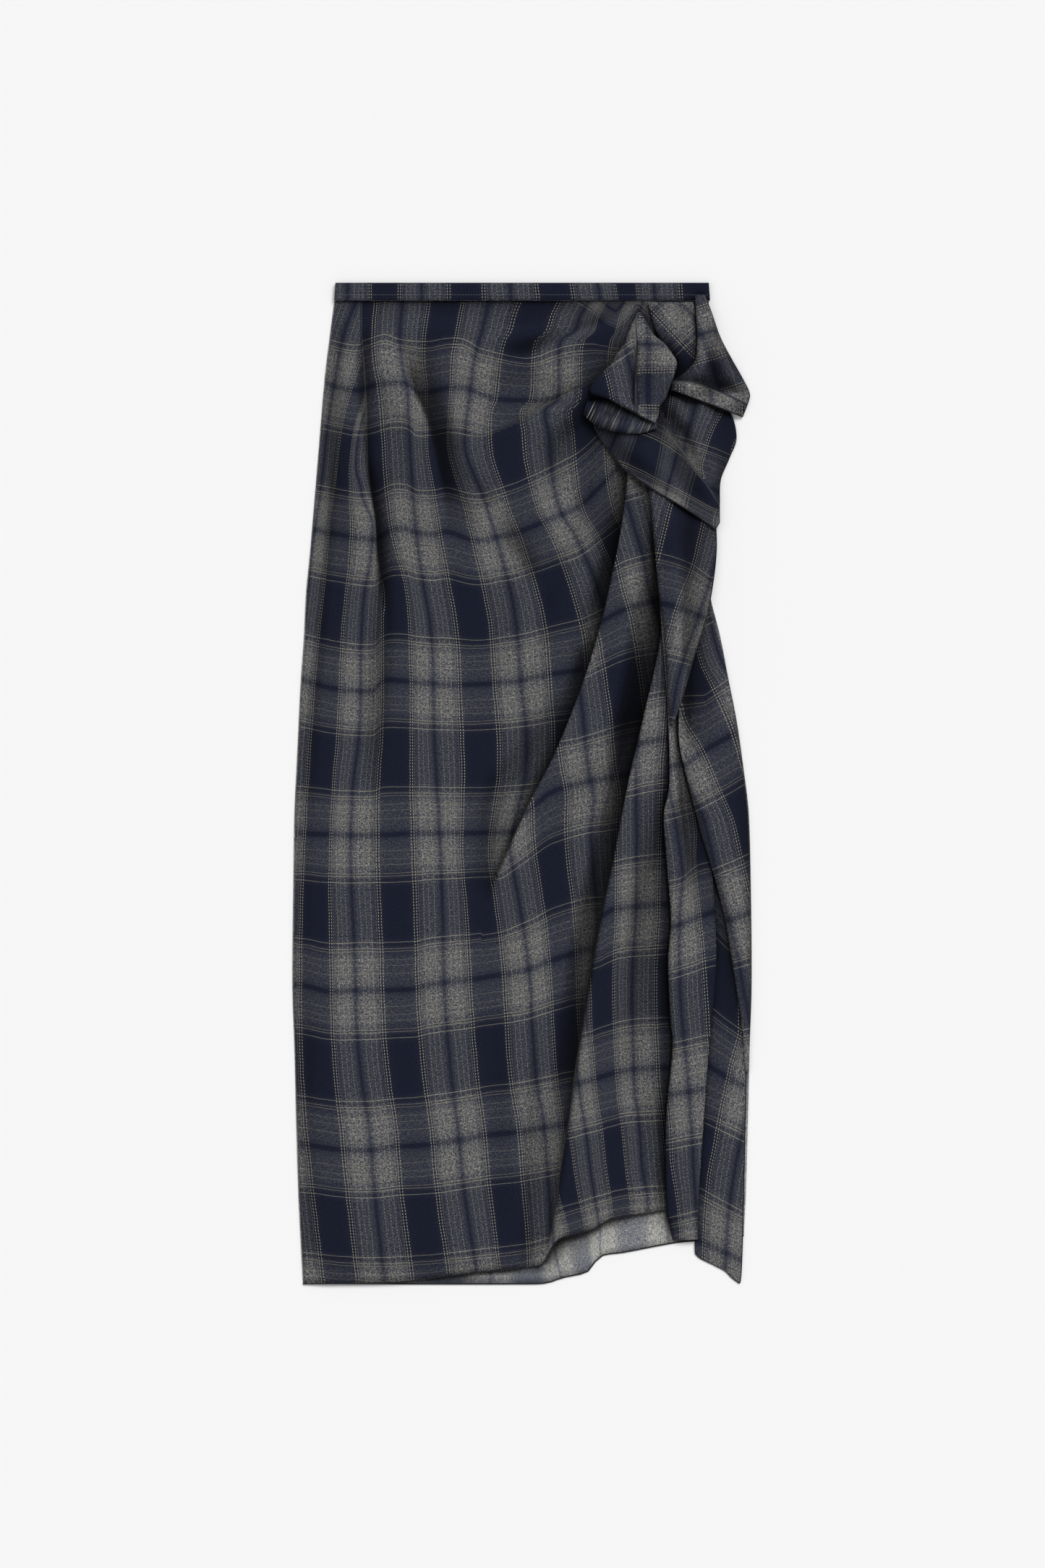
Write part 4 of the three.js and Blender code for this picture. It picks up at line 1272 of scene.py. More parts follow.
@dataclass
class Panels:
    """The back panel and the over wrap, which hang from the waist seam."""

    skirt: Skirt
    fineness: int = 4
    back_rows: int = 120
    back_columns: int = 60

    def back_panel(self) -> None:
        """Builds the back panel, flat on the surface, under everything."""
        across = np.linspace(0, 1, self.back_columns + 1)
        down = np.linspace(0, 1, self.back_rows + 1)[:, None]
        foot = SIDES.read("left", HEM) * (1 - across) + SIDES.read("right", HEM) * across
        y = PANEL_TOP + (BACK_HEM.read("y", foot) - PANEL_TOP) * down
        x = SIDES.read("left", y) * (1 - across) + SIDES.read("right", y) * across
        points = np.stack([x, y, np.full_like(x, CLOTH / 2)], -1)
        self.skirt.dress(
            Cloth(
                "back_cloth", points, plain_check(x, y), flat_under=True, inside_up=True,
                check_above=BACK_INSIDE.at(x, y),
            ),
            Cut(0.437, 0.937), "check_cloth", "back_panel",
        )

    def _columns(self, y: np.ndarray) -> np.ndarray:
        """Places across the over wrap, close together where its folds lie.

        Args:
            y: the height at which each column is wanted, with the columns on the last axis.

        Returns:
            The place of each column at its height.
        """
        left = SIDES.read("left", y) + SIDE_INSET
        right = OVER_END.read("x", y)
        dart, curve = DART_FOLD.crest(y), HIP_CURVE_FOLD.crest(y)
        hip = HIP_FOLD.crest(y)
        front = np.minimum(right - 7, np.maximum(hip + 23, FRONT_FOLD.crest(y)))
        guides = (
            left, dart - 16, dart - 5, dart + 14, curve - 12, np.minimum(curve + 12, hip - 18),
            hip - 15, hip - 5, hip + 4, front - 14, front - 5, front + 6, right,
        )
        steps = np.array((4, 3, 5, 3, 4, 7, 4, 4, 4, 3, 5, 2)) * self.fineness
        segment = np.r_[np.repeat(np.arange(len(steps)), steps), len(steps) - 1]
        share = np.r_[np.concatenate([np.arange(n) / n for n in steps]), 1.0]
        shape = (len(guides), len(y), len(share))
        stacked = np.broadcast_to(np.stack(np.broadcast_arrays(*guides)), shape)
        place = np.arange(len(share))
        near, far = stacked[segment, :, place].T, stacked[segment + 1, :, place].T
        return near + (far - near) * share

    def _over_grid(self) -> np.ndarray:
        """The over wrap's grid of x and y, with each column at its own height."""
        top_share, top_rows, rows = 0.16, 17 * self.fineness, 43 * self.fineness
        share = np.where(
            np.arange(rows + 1) < top_rows,
            top_share * np.arange(rows + 1) / top_rows,
            top_share + (1 - top_share) * (np.arange(rows + 1) - top_rows) / (rows - top_rows),
        )[:, None]
        x = self._columns(PANEL_TOP + (OVER_HEM.read("y", np.zeros((1, 1))) - PANEL_TOP) * share)
        for _ in range(4):
            x = self._columns(PANEL_TOP + (OVER_HEM.read("y", x) - PANEL_TOP) * share)
        return np.stack([x, PANEL_TOP + (OVER_HEM.read("y", x) - PANEL_TOP) * share], -1)

    def over_wrap(self) -> None:
        """Builds the main front panel, gathered and folded towards the right hip."""
        flat = self._over_grid()
        x, y = flat[..., 0], flat[..., 1]
        level = self.skirt.pile.lay(flat, 4, 60)
        inside = ease(0, 26, x - SIDES.read("left", y)) * ease(0, 30, PANEL_TOP - y)
        inside = inside * ease(0, 60, y + TOP + 20)
        height = LOFT * inside * (1 - ease(120, 150, x))
        shift_x, shift_y = np.zeros_like(x), np.zeros_like(y)
        for fold in FOLDS:
            up, shift = fold.shape(x, y)
            height = height + up
            if fold.runs is Runs.DOWN:
                shift_x = shift_x + shift
            else:
                shift_y = shift_y + shift
        for ridge in RIDGES:
            height = height + ridge.height(x, y) * inside
        z = level + np.maximum(0, height)
        points = np.stack([x + shift_x, y + shift_y, z], -1)
        check = self._check(x, y, *plan(points))
        self.skirt.dress(
            Cloth("over_wrap_cloth", points, check), Cut(0.46, 0.945, "draped", ("back_cloth",)),
            "check_cloth", "over_wrap",
        )

    @staticmethod
    def _check(x: np.ndarray, y: np.ndarray, seen_x: np.ndarray, seen_y: np.ndarray) -> np.ndarray:
        """Args:
            x: places before the lips are drawn over.
            y: places before the lips are drawn over.
            seen_x: places as seen from above.
            seen_y: places as seen from above.
        """
        below_hip = 1 - ease(385, 425, y)
        upper, lower = UPPER_FRONT.at(seen_x, seen_y), LOWER_FRONT.at(seen_x, seen_y)
        check = mix(upper, lower, LOWER_DRAPE.crossed(x, y))
        check = mix(check, HIP_FOLD_CLOTH.at(seen_x, seen_y), HIP_FOLD.crossed(x, y) * below_hip)
        front = FRONT_FOLD.crossed(x, y) * below_hip
        check = mix(check, FRONT_FOLD_CLOTH.at(seen_x, seen_y), front)
        return mix(check, LEFT_SIDE.at(seen_x, seen_y), DART_FOLD.crossed(x, y))


# Cross sections of a strip: how far along each point lies and its share of the crown
FLAT_SECTION = counted(
    "step along share", (0, 0), (0.12, 0.5), (0.35, 1), (0.65, 1), (0.88, 0.5),
    (1, 0),
)
LIP_SECTION = counted(
    "step along share", (0.2, 0), (0.06, 0.06), (0, 0.45), (0.05, 0.84),
    (0.16, 1), (0.35, 0.9), (0.6, 0.55), (0.85, 0.3), (1, 0.1),
)
PETAL_SECTION = counted(
    "step along share", (0.12, 0), (0.03, 0.1), (0, 0.4), (0.05, 0.75),
    (0.22, 1), (0.44, 0.72), (0.5, 0.42), (0.56, 0.72), (0.8, 0.95),
    (0.95, 0.7), (1, 0.35), (0.96, 0.05), (0.86, 0),
)
WAVE_SECTION = counted(
    "step along share", (0, 0.15), (0.1, 0.6), (0.22, 0.95), (0.36, 0.7),
    (0.48, 0.35), (0.6, 0.6), (0.76, 1), (0.9, 0.6), (1, 0.2),
)
TAIL_SECTION = counted(
    "step along share", (0, 0.1), (0.06, 0.6), (0.2, 1), (0.45, 0.95), (0.7, 0.85),
    (0.88, 0.65), (1, 0.3),
)

# Strips laid over the wrap: where their two long edges lie at each station, and their crown
UNDER_WRAP = counted(
    "station ax ay bx by rise", (90, 460, 172, 460, 0), (112, 300, 170, 300, 0),
    (135, 150, 182, 150, 0), (150, 0, 207, 0, 0), (158, -150, 214, -150, 1),
    (161, -300, 213, -300, 1.5), (164, -400, 210, -400, 1),
    (165.5, -462, 207, -462, 0),
)
UNDER_HEM = Table(
    "x y", (165, -448), (169, -452), (185, -460), (194, -465), (200, -471), (208, -477)
)
EDGE_PLEAT = counted(
    "station ax ay bx by rise", (128, 250, 150, 250, 3), (132, 160, 148, 160, 3),
    (139, 62, 149, 62, 3), (140, 3, 162, 3, 4), (133, -27, 170, -27, 5),
    (137, -74, 180, -74, 6), (141, -129, 184, -129, 6.5), (139, -170, 185, -170, 7.5),
    (140, -225, 181, -225, 7.5), (141, -253, 178, -253, 7), (135, -322, 173, -322, 7),
    (135, -398, 168, -398, 5), (139, -420, 167.5, -420, 5),
    (143, -435, 167.5, -435, 4),
)
SIDE_PANEL = counted(
    "station ax ay bx by rise", (163, 460, 177, 460, 0.5), (160, 300, 176, 300, 0.5),
    (158, 182, 178, 182, 1), (152, 120, 192, 120, 2), (149, 62, 203, 62, 4),
    (150, 36, 207, 36, 5), (155, 13, 210, 13, 6), (164, -22, 214, -22, 7),
    (173, -55, 216, -55, 7), (186, -98, 217, -98, 6), (196, -143, 217, -143, 5),
    (204, -193, 217.5, -193, 3.5), (210, -233, 217, -233, 2),
    (213, -275, 216, -275, 0.5),
)
FLOUNCE_TAIL = counted(
    "station ax ay bx by rise", (118, 320, 176, 300, 2), (121, 285, 183, 262, 4),
    (125, 240, 185, 222, 5), (130, 184, 180, 180, 5), (135, 150, 173, 150, 5),
    (138, 115, 163, 120, 5), (139, 85, 154, 88, 4), (141, 56, 143.5, 56, 1),
)
FLOUNCE_FALL = counted(
    "station ax ay bx by rise", (66, 352, 98, 378, 2), (70, 338, 120, 374, 5),
    (78, 324, 146, 376, 8), (89, 310, 172, 372, 9), (97, 300, 196, 357, 9),
    (110, 290, 204, 331, 8), (128, 278, 197, 310, 7), (148, 266, 189, 290, 6),
    (168, 254, 188, 268, 4), (184, 243, 188, 249, 2),
)
FLOUNCE_ROLL = counted(
    "station ax ay bx by rise", (58, 352, 62, 364, 3), (72, 340, 80, 366, 5),
    (88, 334, 96, 362, 6), (108, 332, 114, 358, 6), (128, 338, 130, 352, 3),
)
FLOUNCE_MIDDLE = counted(
    "station ax ay bx by rise", (120, 459, 163, 459, 1), (126, 436, 168, 438, 6),
    (135, 412, 173, 412, 9), (140, 392, 173, 392, 9), (136, 376, 160, 374, 4),
)
FLOUNCE_RIGHT = counted(
    "station ax ay bx by rise", (165, 466, 174, 466, 2), (166, 446, 181, 447, 5),
    (167, 424, 189, 425, 8), (165, 404, 200, 404, 11), (157, 393, 209, 388, 10),
    (148, 386, 216, 374, 3), (143, 382, 216, 366, 9), (142, 375, 210, 350, 5),
)
FLOUNCE_LEFT = counted(
    "station ax ay bx by rise crease", (110, 449, 113, 449, 3, 0.5),
    (101, 430, 122, 434, 6, 0.45), (92, 412, 133, 422, 9, 0.42),
    (81, 396, 142, 410, 11, 0.45), (68, 382, 147, 400, 12, 0.5),
    (66, 372, 144, 388, 12, 0.52), (82, 366, 139, 374, 10, 0.42),
    (98, 357, 134, 360, 7, 0.25), (120, 346, 126, 343, 3, 0.2),
)


@dataclass(frozen=True)
class Strip:
    """A strip of cloth between two long edges, with a crown that follows a cross section."""

    stations: Table
    section: Table
    steps: int = 10
    columns: int = 48
    reach: float = 4.0
    passes: int = 50
    seat: float = 0.0
    gathers: int = 0
    gather_depth: float = 0.0
    ridges: tuple[Ridge, ...] = ()

    def grid(self, pile: Pile) -> np.ndarray:
        """The strip's grid of points, laid on the pile.

        Args:
            pile: what is laid already.

        Returns:
            Points in mm, with the rows from the first station to the last.
        """
        last = len(self.stations.keys) - 1
        at = np.linspace(0, last, last * self.steps + 1)
        ax, ay, bx, by, rise = (
            self.stations.read(name, at)[:, None] for name in ("ax", "ay", "bx", "by", "rise")
        )
        end = len(self.section.keys) - 1
        step = np.linspace(0, end, self.columns + 1)
        even = (step / end)[None, :]
        curl = ease(15, 50, np.hypot(bx - ax, by - ay))
        arch = np.sin(np.pi * np.clip(even, 0, 1)) ** 0.7
        along = even + (self.section.read("along", step)[None, :] - even) * curl
        share = arch + (self.section.read("share", step)[None, :] - arch) * curl
        if "crease" in self.stations.names:
            crease = self.stations.read("crease", at)[:, None]
            along = np.where(
                along < 0.5, along * 2 * crease, crease + (along - 0.5) * 2 * (1 - crease)
            )
        points = np.stack([ax + (bx - ax) * along, ay + (by - ay) * along], -1)
        crown = share * np.maximum(0, rise)
        if self.gathers:
            fade = (1 - ease(0.15, 0.9, at / last))[:, None] * arch
            crown = crown + self.gather_depth * fade * np.sin(2 * np.pi * self.gathers * even)
        for ridge in self.ridges:
            crown = crown + ridge.height(*plan(points)) * arch
        level = pile.lay(points, self.reach, self.passes)
        height = level + np.maximum(0, crown) - self.seat
        return np.concatenate([points, height[..., None]], -1)


# Bends of the fall: the round one under the right petal, the one where it turns down and its hem
FALL_RIDGES = (
    Ridge(((918, 575), (924, 552), (950, 545), (972, 556), (984, 590)), 4, 6),
    Ridge(((932, 540), (938, 562), (945, 590)), 6, 7),
    Ridge(((926, 560), (936, 590), (956, 630), (980, 665), (1000, 700)), -6, 8),
    Ridge(((968, 600), (966, 640), (985, 690), (995, 720)), 3, 6),
    Ridge(((870, 655), (905, 672), (945, 695), (985, 722)), -3, 4),
    Ridge(((850, 615), (900, 640), (950, 675)), 2.5, 8),
)

# Where the pleat sinks beside the side panel
PLEAT_HOLLOW = Ridge(((938, 980), (942, 1030), (948, 1080), (954, 1150), (958, 1250)), -8, 8)


@dataclass
class FrontEdge:
    """The under wrap, the pleat at the over wrap's front edge and the side panel."""

    skirt: Skirt

    def under_wrap(self) -> None:
        """Builds the inner front end, whose slanted hem reaches below the other panels."""
        points = Strip(UNDER_WRAP, FLAT_SECTION, steps=16, reach=2, passes=8).grid(self.skirt.pile)
        down = np.linspace(0, 1, len(points))[:, None]
        pull = ease(0.72, 1, down)
        hem = UNDER_HEM.read("y", points[..., 0])
        points[..., 1] = points[..., 1] * (1 - pull) + hem * pull
        check = UNDER_CLOTH.at(*plan(points))
        self.skirt.dress(
            Cloth("under_wrap_cloth", points, check), Cut(0.056, 0.94, "laid", ("back_cloth",)),
            "check_cloth", "under_wrap",
        )

    def edge_pleat(self) -> None:
        """Builds the front edge, turned over on itself as a long pleat."""
        strip = Strip(EDGE_PLEAT, LIP_SECTION, columns=40, ridges=(PLEAT_HOLLOW,))
        points = strip.grid(self.skirt.pile)
        check = PLEAT_CLOTH.at(*plan(points))
        self.skirt.dress(
            Cloth("edge_pleat_cloth", points, check),
            Cut(0.036, 0.69, "folded", ("over_wrap_cloth",)), "check_cloth", "edge_pleat",
        )

    def side_panel(self) -> None:
        """Builds the strip that comes down from the waistband and crosses over the pleat."""
        points = Strip(SIDE_PANEL, FLAT_SECTION, steps=10, columns=32).grid(self.skirt.pile)
        check = SIDE_CLOTH.at(*plan(points))
        self.skirt.dress(
            Cloth("side_panel_cloth", points, check),
            Cut(0.03, 0.74, "draped", ("edge_pleat_cloth",)), "check_cloth", "side_panel",
        )


@dataclass
class Waistband:
    """The band, a folded strip with its turnings inside, in front and behind."""

    skirt: Skirt
    columns: int = 180
    turning: float = 9.0
    back_height: float = 1.15
    front_height: float = 3.75
    front_swell: float = 1.2

    def _band(self, height: float, swell: float) -> np.ndarray:
        """The grid of one folded strip, from its first turning round the top to its last.

        Args:
            height: the middle of the band over the surface, in mm.
            swell: how far its middle rises, in mm.

        Returns:
            Points in mm, with the rows from one turning to the other.
        """
        low, high = SEAM_Y + 0.4, TOP - 0.4
        inner, outer = 0.28, 0.85
        loop = Table(
            "step y z",
            (0, low + self.turning, -inner), (1, low + 3, -inner), (2, low, -(inner + outer) / 2),
            (3, low + 2, -outer), (4, (low + high) / 2, -outer), (5, high - 1.5, -outer),
            (6, high, 0), (7, high - 1.5, outer), (8, (low + high) / 2, outer),
            (9, low + 2, outer), (10, low, (inner + outer) / 2), (11, low + 3, inner),
            (12, low + self.turning, inner),
        )
        step = np.linspace(0, 12, 97)
        u = np.linspace(0, 1, self.columns + 1)
        y = loop.read("y", step)[:, None] + 0 * u
        half = WAIST / 2 + (TOP - y) * 0.07
        x = -half + 2 * half * u
        pad = np.sin(np.pi * np.clip((y - SEAM_Y) / BAND_HEIGHT, 0, 1)) * np.sin(np.pi * u)
        ripple = 0.12 * np.sin(x / 9.0 + y / 5.0) + 0.08 * np.sin(x / 3.7)
        z = height + loop.read("z", step)[:, None] + (swell + ripple) * pad
        return np.stack([x, y, z], -1)

    def build(self) -> None:
        """Builds the band behind and the band in front of it."""
        flat = Cut(WAIST * METRE, 0.052, "folded", ("back_cloth",))
        back = self._band(self.back_height, 0.0)
        self.skirt.dress(
            Cloth("waistband_back_cloth", back, plain_check(*plan(back)), BAND_CLOTH),
            flat, "band_cloth", "waistband_back",
        )
        front = self._band(self.front_height, self.front_swell)
        check = BAND_FRONT_CLOTH.at(*plan(front))
        self.skirt.dress(
            Cloth("waistband_front_cloth", front, check, BAND_CLOTH),
            Cut(WAIST * METRE, 0.052, "folded", ("waistband_back_cloth",)),
            "band_cloth", "waistband_front",
        )


@dataclass
class Flounce:
    """The flounce at the right hip, one length of cloth seen as six lapped stretches."""

    skirt: Skirt

    def build(self) -> None:
        """Builds the stretches from the lowest to the one on top."""
        gathered = {"gathers": 3, "gather_depth": 0.8}
        stretches = (
            ("tail_cloth", "flounce_tail", Strip(FLOUNCE_TAIL, TAIL_SECTION, **gathered),
             TAIL_CLOTH.at, 0.055, 0.26, "draped", "over_wrap_cloth"),
            ("fall_cloth", "flounce_fall",
             Strip(FLOUNCE_FALL, WAVE_SECTION, seat=0.6, ridges=FALL_RIDGES),
             self._fall_check, 0.075, 0.16, "draped", "over_wrap_cloth"),
            ("roll_cloth", "flounce_roll", Strip(FLOUNCE_ROLL, PETAL_SECTION, seat=0.8),
             self._roll_check, 0.034, 0.072, "gathered", "fall_cloth"),
            ("middle_cloth", "flounce_middle", Strip(FLOUNCE_MIDDLE, FLAT_SECTION, **gathered),
             middle_petal_cloth, 0.042, 0.087, "gathered", "over_wrap_cloth"),
            ("right_petal_cloth", "flounce_right", Strip(FLOUNCE_RIGHT, WAVE_SECTION, seat=0.4),
             right_petal_cloth, 0.055, 0.105, "gathered", "fall_cloth"),
            ("left_petal_cloth", "flounce_left", Strip(FLOUNCE_LEFT, PETAL_SECTION),
             left_petal_cloth, 0.075, 0.105, "gathered", "roll_cloth"),
        )
        for name, stand_in, strip, check, width, length, held, under in stretches:
            points = strip.grid(self.skirt.pile)
            cloth = Cloth(name, points, check(*plan(points)))
            self.skirt.dress(cloth, Cut(width, length, held, (under,)), "flounce_cloth", stand_in)

    @staticmethod
    def _fall_check(x: np.ndarray, y: np.ndarray) -> np.ndarray:
        column, row = pixels(x, y)
        lying = FALL_CLOTH.at(x, y)[..., ::-1]
        hanging = HANGING_CLOTH.at(x, y)
        return mix(lying, hanging, ease(-3, 3, column - FALL_BEND.read("x", row)))

    @staticmethod
    def _roll_check(x: np.ndarray, y: np.ndarray) -> np.ndarray:
        column, row = pixels(x, y)
        across = 0.3 - ((column - 808) * 0.7 + (row - 592) * 0.35) / WARP_PIXELS
        return np.stack([across, 0.42 + (column - 860) / 2140], -1)


class Edge(Enum):
    """The four edges of a piece's grid."""

    FIRST_ROW = (0, slice(None))
    LAST_ROW = (-1, slice(None))
    FIRST_COLUMN = (slice(None), 0)
    LAST_COLUMN = (slice(None), -1)


class EdgeNodes:
    """A Geometry Nodes tree that repeats a stitch along a path and may roll its edge."""

    def __init__(self, name: str) -> None:
        """Starts a tree with its named inputs."""
        self.tree = bpy.data.node_groups.new(name, "GeometryNodeTree")
        self.sockets: dict[str, str] = {}
        self._socket("Geometry", "NodeSocketGeometry", "INPUT")
        self._socket("Geometry", "NodeSocketGeometry", "OUTPUT")
        for label in ("Pitch", "Roll Radius", "Stitch Radius", "Stitch Length"):
            self._socket(label, "NodeSocketFloat", "INPUT")
        for label in ("Roll", "Thread"):
            self._socket(label, "NodeSocketMaterial", "INPUT")
        self.start = self.tree.nodes.new("NodeGroupInput").outputs
        self.end = self.tree.nodes.new("NodeGroupOutput").inputs

    def _socket(self, label: str, kind: str, way: str) -> None:
        """Adds an input or an output to the tree."""
        socket = self.tree.interface.new_socket(label, in_out=way, socket_type=kind)
        if way == "INPUT":
            self.sockets[label] = socket.identifier

    def node(
        self, kind: str, settings: dict[str, object] | None = None, **inputs: object
    ) -> object:
        """Adds a node.

        Args:
            kind: the node's type.
            settings: its own settings.
            inputs: a socket or a value for each input, by its name with underscores for spaces.

        Returns:
            The node's outputs.
        """
        node = self.tree.nodes.new(kind)
        for setting, value in (settings or {}).items():
            setattr(node, setting, value)
        for label, given in inputs.items():
            target = node.inputs[label.replace("_", " ")]
            if isinstance(given, bpy.types.NodeSocket):
                self.tree.links.new(given, target)
            else:
                target.default_value = given
        return node.outputs

    def finish(self, parts: list[tuple[object, str]]) -> None:
        """Joins meshes, each with the material of a named input, into the tree's output."""
        join = self.tree.nodes.new("GeometryNodeJoinGeometry")
        for mesh, material in parts:
            painted = self.node(
                "GeometryNodeSetMaterial", Geometry=mesh, Material=self.start[material]
            )
            self.tree.links.new(painted["Geometry"], join.inputs["Geometry"])
        self.tree.links.new(join.outputs["Geometry"], self.end["Geometry"])

    def rolled_edge(self) -> "EdgeNodes":
        """A tight roll along the path, bound by rings of thread at an even pitch."""
        path = self.node("GeometryNodeMeshToCurve", Mesh=self.start["Geometry"])["Curve"]
        section = self.node(
            "GeometryNodeCurvePrimitiveCircle", Resolution=6, Radius=self.start["Roll Radius"]
        )["Curve"]
        roll = self.node(
            "GeometryNodeCurveToMesh", Curve=path, Profile_Curve=section, Fill_Caps=True
        )
        rounded = self.node(
            "ShaderNodeMath", {"operation": "MULTIPLY"}, Value=self.start["Roll Radius"]
        )
        self.tree.nodes[-1].inputs[1].default_value = 1.12
        ring = self.node("GeometryNodeCurvePrimitiveCircle", Resolution=7, Radius=rounded["Value"])
        strand = self.node(
            "GeometryNodeCurvePrimitiveCircle", Resolution=3, Radius=self.start["Stitch Radius"]
        )
        stitch = self.node(
            "GeometryNodeCurveToMesh", Curve=ring["Curve"], Profile_Curve=strand["Curve"]
        )
        places = self.node(
            "GeometryNodeCurveToPoints", {"mode": "LENGTH"}, Curve=path, Length=self.start["Pitch"]
        )
        rings = self.node(
            "GeometryNodeInstanceOnPoints", Points=places["Points"], Instance=stitch["Mesh"],
            Rotation=places["Rotation"],
        )
        real = self.node("GeometryNodeRealizeInstances", Geometry=rings["Instances"])
        self.finish([(roll["Mesh"], "Roll"), (real["Geometry"], "Thread")])
        return self

    def running_stitch(self) -> "EdgeNodes":
        """Short stitches in line, with a gap after each one."""
        path = self.node("GeometryNodeMeshToCurve", Mesh=self.start["Geometry"])["Curve"]
        places = self.node(
            "GeometryNodeCurveToPoints", {"mode": "LENGTH"}, Curve=path, Length=self.start["Pitch"]
        )
        bead = self.node("GeometryNodeMeshIcoSphere", Radius=1.0, Subdivisions=2)
        size = self.node(
            "ShaderNodeCombineXYZ", X=self.start["Stitch Radius"], Y=self.start["Stitch Radius"],
            Z=self.start["Stitch Length"],
        )
        beads = self.node(
            "GeometryNodeInstanceOnPoints", Points=places["Points"], Instance=bead["Mesh"],
            Rotation=places["Rotation"], Scale=size["Vector"],
        )
        real = self.node("GeometryNodeRealizeInstances", Geometry=beads["Instances"])
        self.finish([(real["Geometry"], "Thread")])
        return self


@dataclass
class Sewing:
    """Rolled edges and stitches, repeated along the cloth's edges by Geometry Nodes."""

    skirt: Skirt
    roll_radius: float = 0.62
    ring_pitch: float = 1.3
    stitch_pitch: float = 2.6
    under_hem_points: int = 220
    stitch_share: float = 9.2 / 13

    def _apply(
        self, name: str, path: np.ndarray, nodes: EdgeNodes, slot: str, **values: float
    ) -> None:
        """Makes one piece of sewing from a path.

        Args:
            name: name of the piece.
            path: points in mm.
            nodes: the tree that repeats the stitch.
            slot: the record's material slot.
            values: the tree's inputs in mm, by name with underscores for spaces.
        """
        finishes = self.skirt.finishes
        line = bpy.data.meshes.new(f"{name}_path")
        steps = [(i, i + 1) for i in range(len(path) - 1)]
        line.from_pydata((path * METRE).tolist(), steps, [])
        guide = bpy.data.objects.new(f"{name}_path", line)
        bpy.context.scene.collection.objects.link(guide)
        modifier = guide.modifiers.new("sewing", "NODES")
        modifier.node_group = nodes.tree
        for label, value in values.items():
            modifier[nodes.sockets[label.replace("_", " ")]] = value * METRE
        modifier[nodes.sockets["Roll"]] = finishes.roll
        thread = finishes.stitch if slot == "band_cloth" else finishes.thread
        modifier[nodes.sockets["Thread"]] = thread
        bpy.context.view_layer.update()
        done = guide.evaluated_get(bpy.context.evaluated_depsgraph_get())
        mesh = bpy.data.meshes.new_from_object(done)
        guide.modifiers.remove(modifier)
        bpy.data.objects.remove(guide)
        bpy.data.meshes.remove(line)
        mesh.name = name
        mesh.polygons.foreach_set("use_smooth", np.ones(len(mesh.polygons), bool))
        piece = bpy.data.objects.new(name, mesh)
        bpy.context.scene.collection.objects.link(piece)
        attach(piece, "root")
        log.info("%s: %d faces along %d points", name, len(mesh.polygons), len(path))

    def _edge(self, cloth: str, *edges: Edge) -> np.ndarray:
        """The path along neighbouring edges of a piece, kept clear of the surface."""
        parts = [self.skirt.grids[cloth][edge.value] for edge in edges]
        path = parts[0]
        for part in parts[1:]:
            near = np.linalg.norm(part[0] - path[-1]) < np.linalg.norm(part[-1] - path[-1])
            path = np.concatenate([path, part[1:] if near else part[-2::-1]])
        path = path.copy()
        path[:, 2] = np.maximum(path[:, 2], self.roll_radius + 0.1)
        return path

    def build(self) -> None:
        """Sews the rolled edges and the band's edge stitch."""
        rolled = EdgeNodes("rolled_edge_nodes").rolled_edge()
        running = EdgeNodes("running_stitch_nodes").running_stitch()
        hem_end = self.under_hem_points
        rolls = (
            ("back_hem", "check_cloth", self._edge("back_cloth", Edge.LAST_ROW)),
            ("over_hem", "check_cloth", self._edge("over_wrap_cloth", Edge.LAST_ROW)),
            ("under_hem", "check_cloth",
             self._edge("under_wrap_cloth", Edge.LAST_ROW, Edge.LAST_COLUMN)[:hem_end]),
            ("tail_edge", "flounce_cloth", self._edge("tail_cloth", Edge.LAST_COLUMN)),
            ("fall_edge", "flounce_cloth",
             self._edge("fall_cloth", Edge.FIRST_COLUMN, Edge.LAST_ROW, Edge.LAST_COLUMN)),
            ("right_petal_edge", "flounce_cloth",
             self._edge("right_petal_cloth", Edge.LAST_COLUMN, Edge.LAST_ROW)),
        )
        for name, slot, path in rolls:
            self._apply(
                name, path, rolled, slot, Pitch=self.ring_pitch, Roll_Radius=self.roll_radius,
                Stitch_Radius=0.13, Stitch_Length=0.4,
            )
        band = self.skirt.grids["waistband_front_cloth"]
        stitches = band[int(len(band) * self.stitch_share)].copy()
        stitches[:, 2] += BAND_CLOTH / 2
        self._apply(
            "band_edge_stitch", stitches, running, "band_cloth", Pitch=self.stitch_pitch,
            Roll_Radius=0.0, Stitch_Radius=0.18, Stitch_Length=0.95,
        )


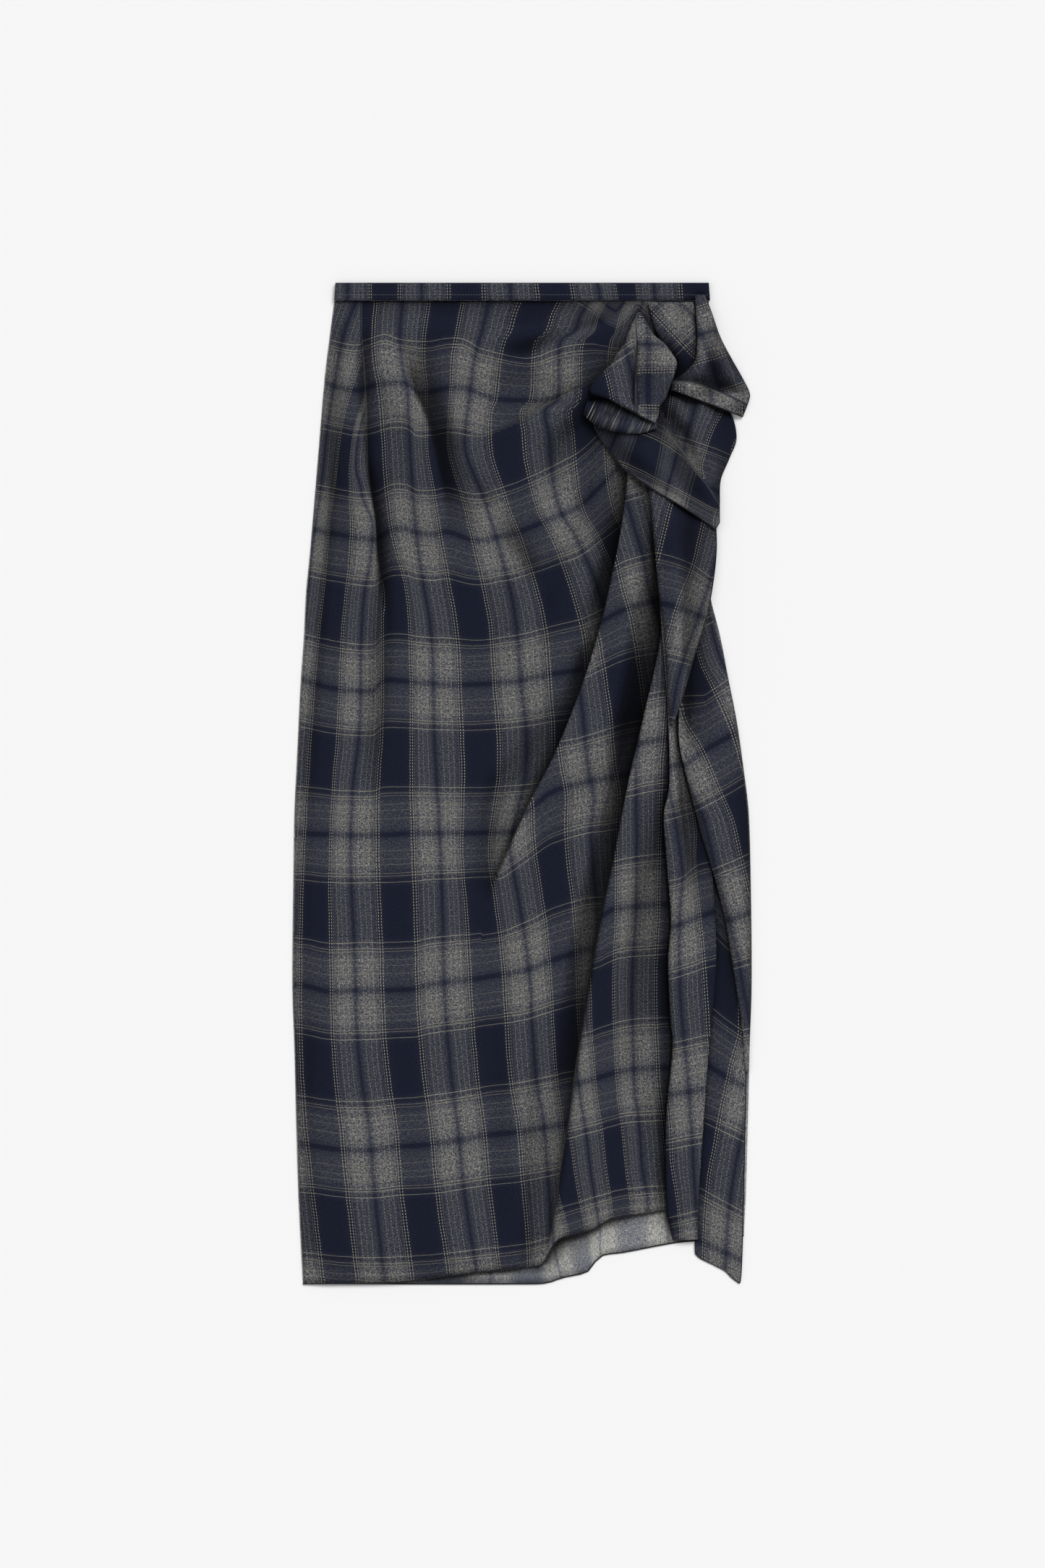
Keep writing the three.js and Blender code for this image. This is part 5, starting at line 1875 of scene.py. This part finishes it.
@dataclass
class Studio:
    """The pale floor, the soft light and the camera over the skirt."""

    height: float = 8.0
    sensor: float = 36.0
    floor_half: float = 4.0
    floor_level: float = -0.0004

    def camera(self) -> None:
        """Adds the camera, straight over the skirt, whose frame is the photograph's."""
        data = bpy.data.cameras.new("camera")
        data.sensor_fit, data.sensor_height = "VERTICAL", self.sensor
        data.sensor_width = self.sensor
        data.lens = self.sensor * self.height / (PHOTO_HEIGHT * PHOTO_MM * METRE)
        data.clip_end = 50
        camera = bpy.data.objects.new("camera", data)
        middle = (PHOTO_WIDTH / 2 - PHOTO_X, PHOTO_Y - PHOTO_HEIGHT / 2)
        camera.location = (middle[0] * PHOTO_MM * METRE, middle[1] * PHOTO_MM * METRE, self.height)
        bpy.context.scene.collection.objects.link(camera)
        bpy.context.scene.camera = camera

    def _sun(self, name: str, tilt: float, turn: float, softness: float, power: float) -> None:
        """Adds soft light from far away.

        Args:
            name: name of the light.
            tilt: how far from straight above it comes, in degrees.
            turn: from which side, in degrees from +X towards +Y.
            softness: its spread, in degrees.
            power: its strength.
        """
        data = bpy.data.lights.new(name, "SUN")
        data.angle, data.energy = math.radians(softness), power
        light = bpy.data.objects.new(name, data)
        light.rotation_euler = (0.0, math.radians(tilt), math.radians(turn))
        light.location = (0.0, 0.0, 3.0)
        bpy.context.scene.collection.objects.link(light)

    def light(self) -> None:
        """Adds the lights and the pale surroundings."""
        self._sun("key_light", tilt=40, turn=62, softness=30, power=2.3)
        self._sun("fill_light", tilt=30, turn=190, softness=60, power=0.4)
        world = bpy.data.worlds.new("studio")
        world.use_nodes = True
        surroundings = world.node_tree.nodes["Background"]
        surroundings.inputs["Color"].default_value = (1.0, 1.0, 1.0, 1.0)
        surroundings.inputs["Strength"].default_value = 0.36
        bpy.context.scene.world = world
        bpy.context.scene.view_settings.view_transform = "Standard"

    def floor(self) -> None:
        """Adds the pale floor, just under the skirt."""
        mesh = bpy.data.meshes.new("floor")
        half, level = self.floor_half, self.floor_level
        corners = [(-half, -half), (half, -half), (half, half), (-half, half)]
        mesh.from_pydata([(x, y, level) for x, y in corners], [], [(0, 1, 2, 3)])
        shader = Shader("pale_floor", roughness=0.9)
        place = shader.tree.nodes.new("ShaderNodeTexCoord").outputs["Object"]
        grain = shader.ramp(shader.noise(place, 3.0), [(0.0, 0.895), (1.0, 0.905)])
        shader.link(grain, shader.surface.inputs["Base Color"])
        mesh.materials.append(shader.material)
        floor = bpy.data.objects.new("floor", mesh)
        bpy.context.scene.collection.objects.link(floor)


def main() -> None:
    """Builds the camera, the skirt from the bottom of the pile to its top, and the studio."""
    logging.basicConfig(level=logging.INFO, format="%(message)s")
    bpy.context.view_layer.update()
    studio = Studio()
    studio.camera()
    skirt = Skirt(Finishes.build())
    panels, edge = Panels(skirt), FrontEdge(skirt)
    panels.back_panel()
    edge.under_wrap()
    panels.over_wrap()
    Waistband(skirt).build()
    edge.edge_pleat()
    edge.side_panel()
    # painted shade in the folds, marked on every piece laid so far, and again more lightly once the
    # flounce is on
    skirt.paint_fold_shade()
    Flounce(skirt).build()
    skirt.paint_fold_shade(strength=0.6)
    Sewing(skirt).build()
    studio.light()
    studio.floor()


if __name__ == "__main__":
    main()
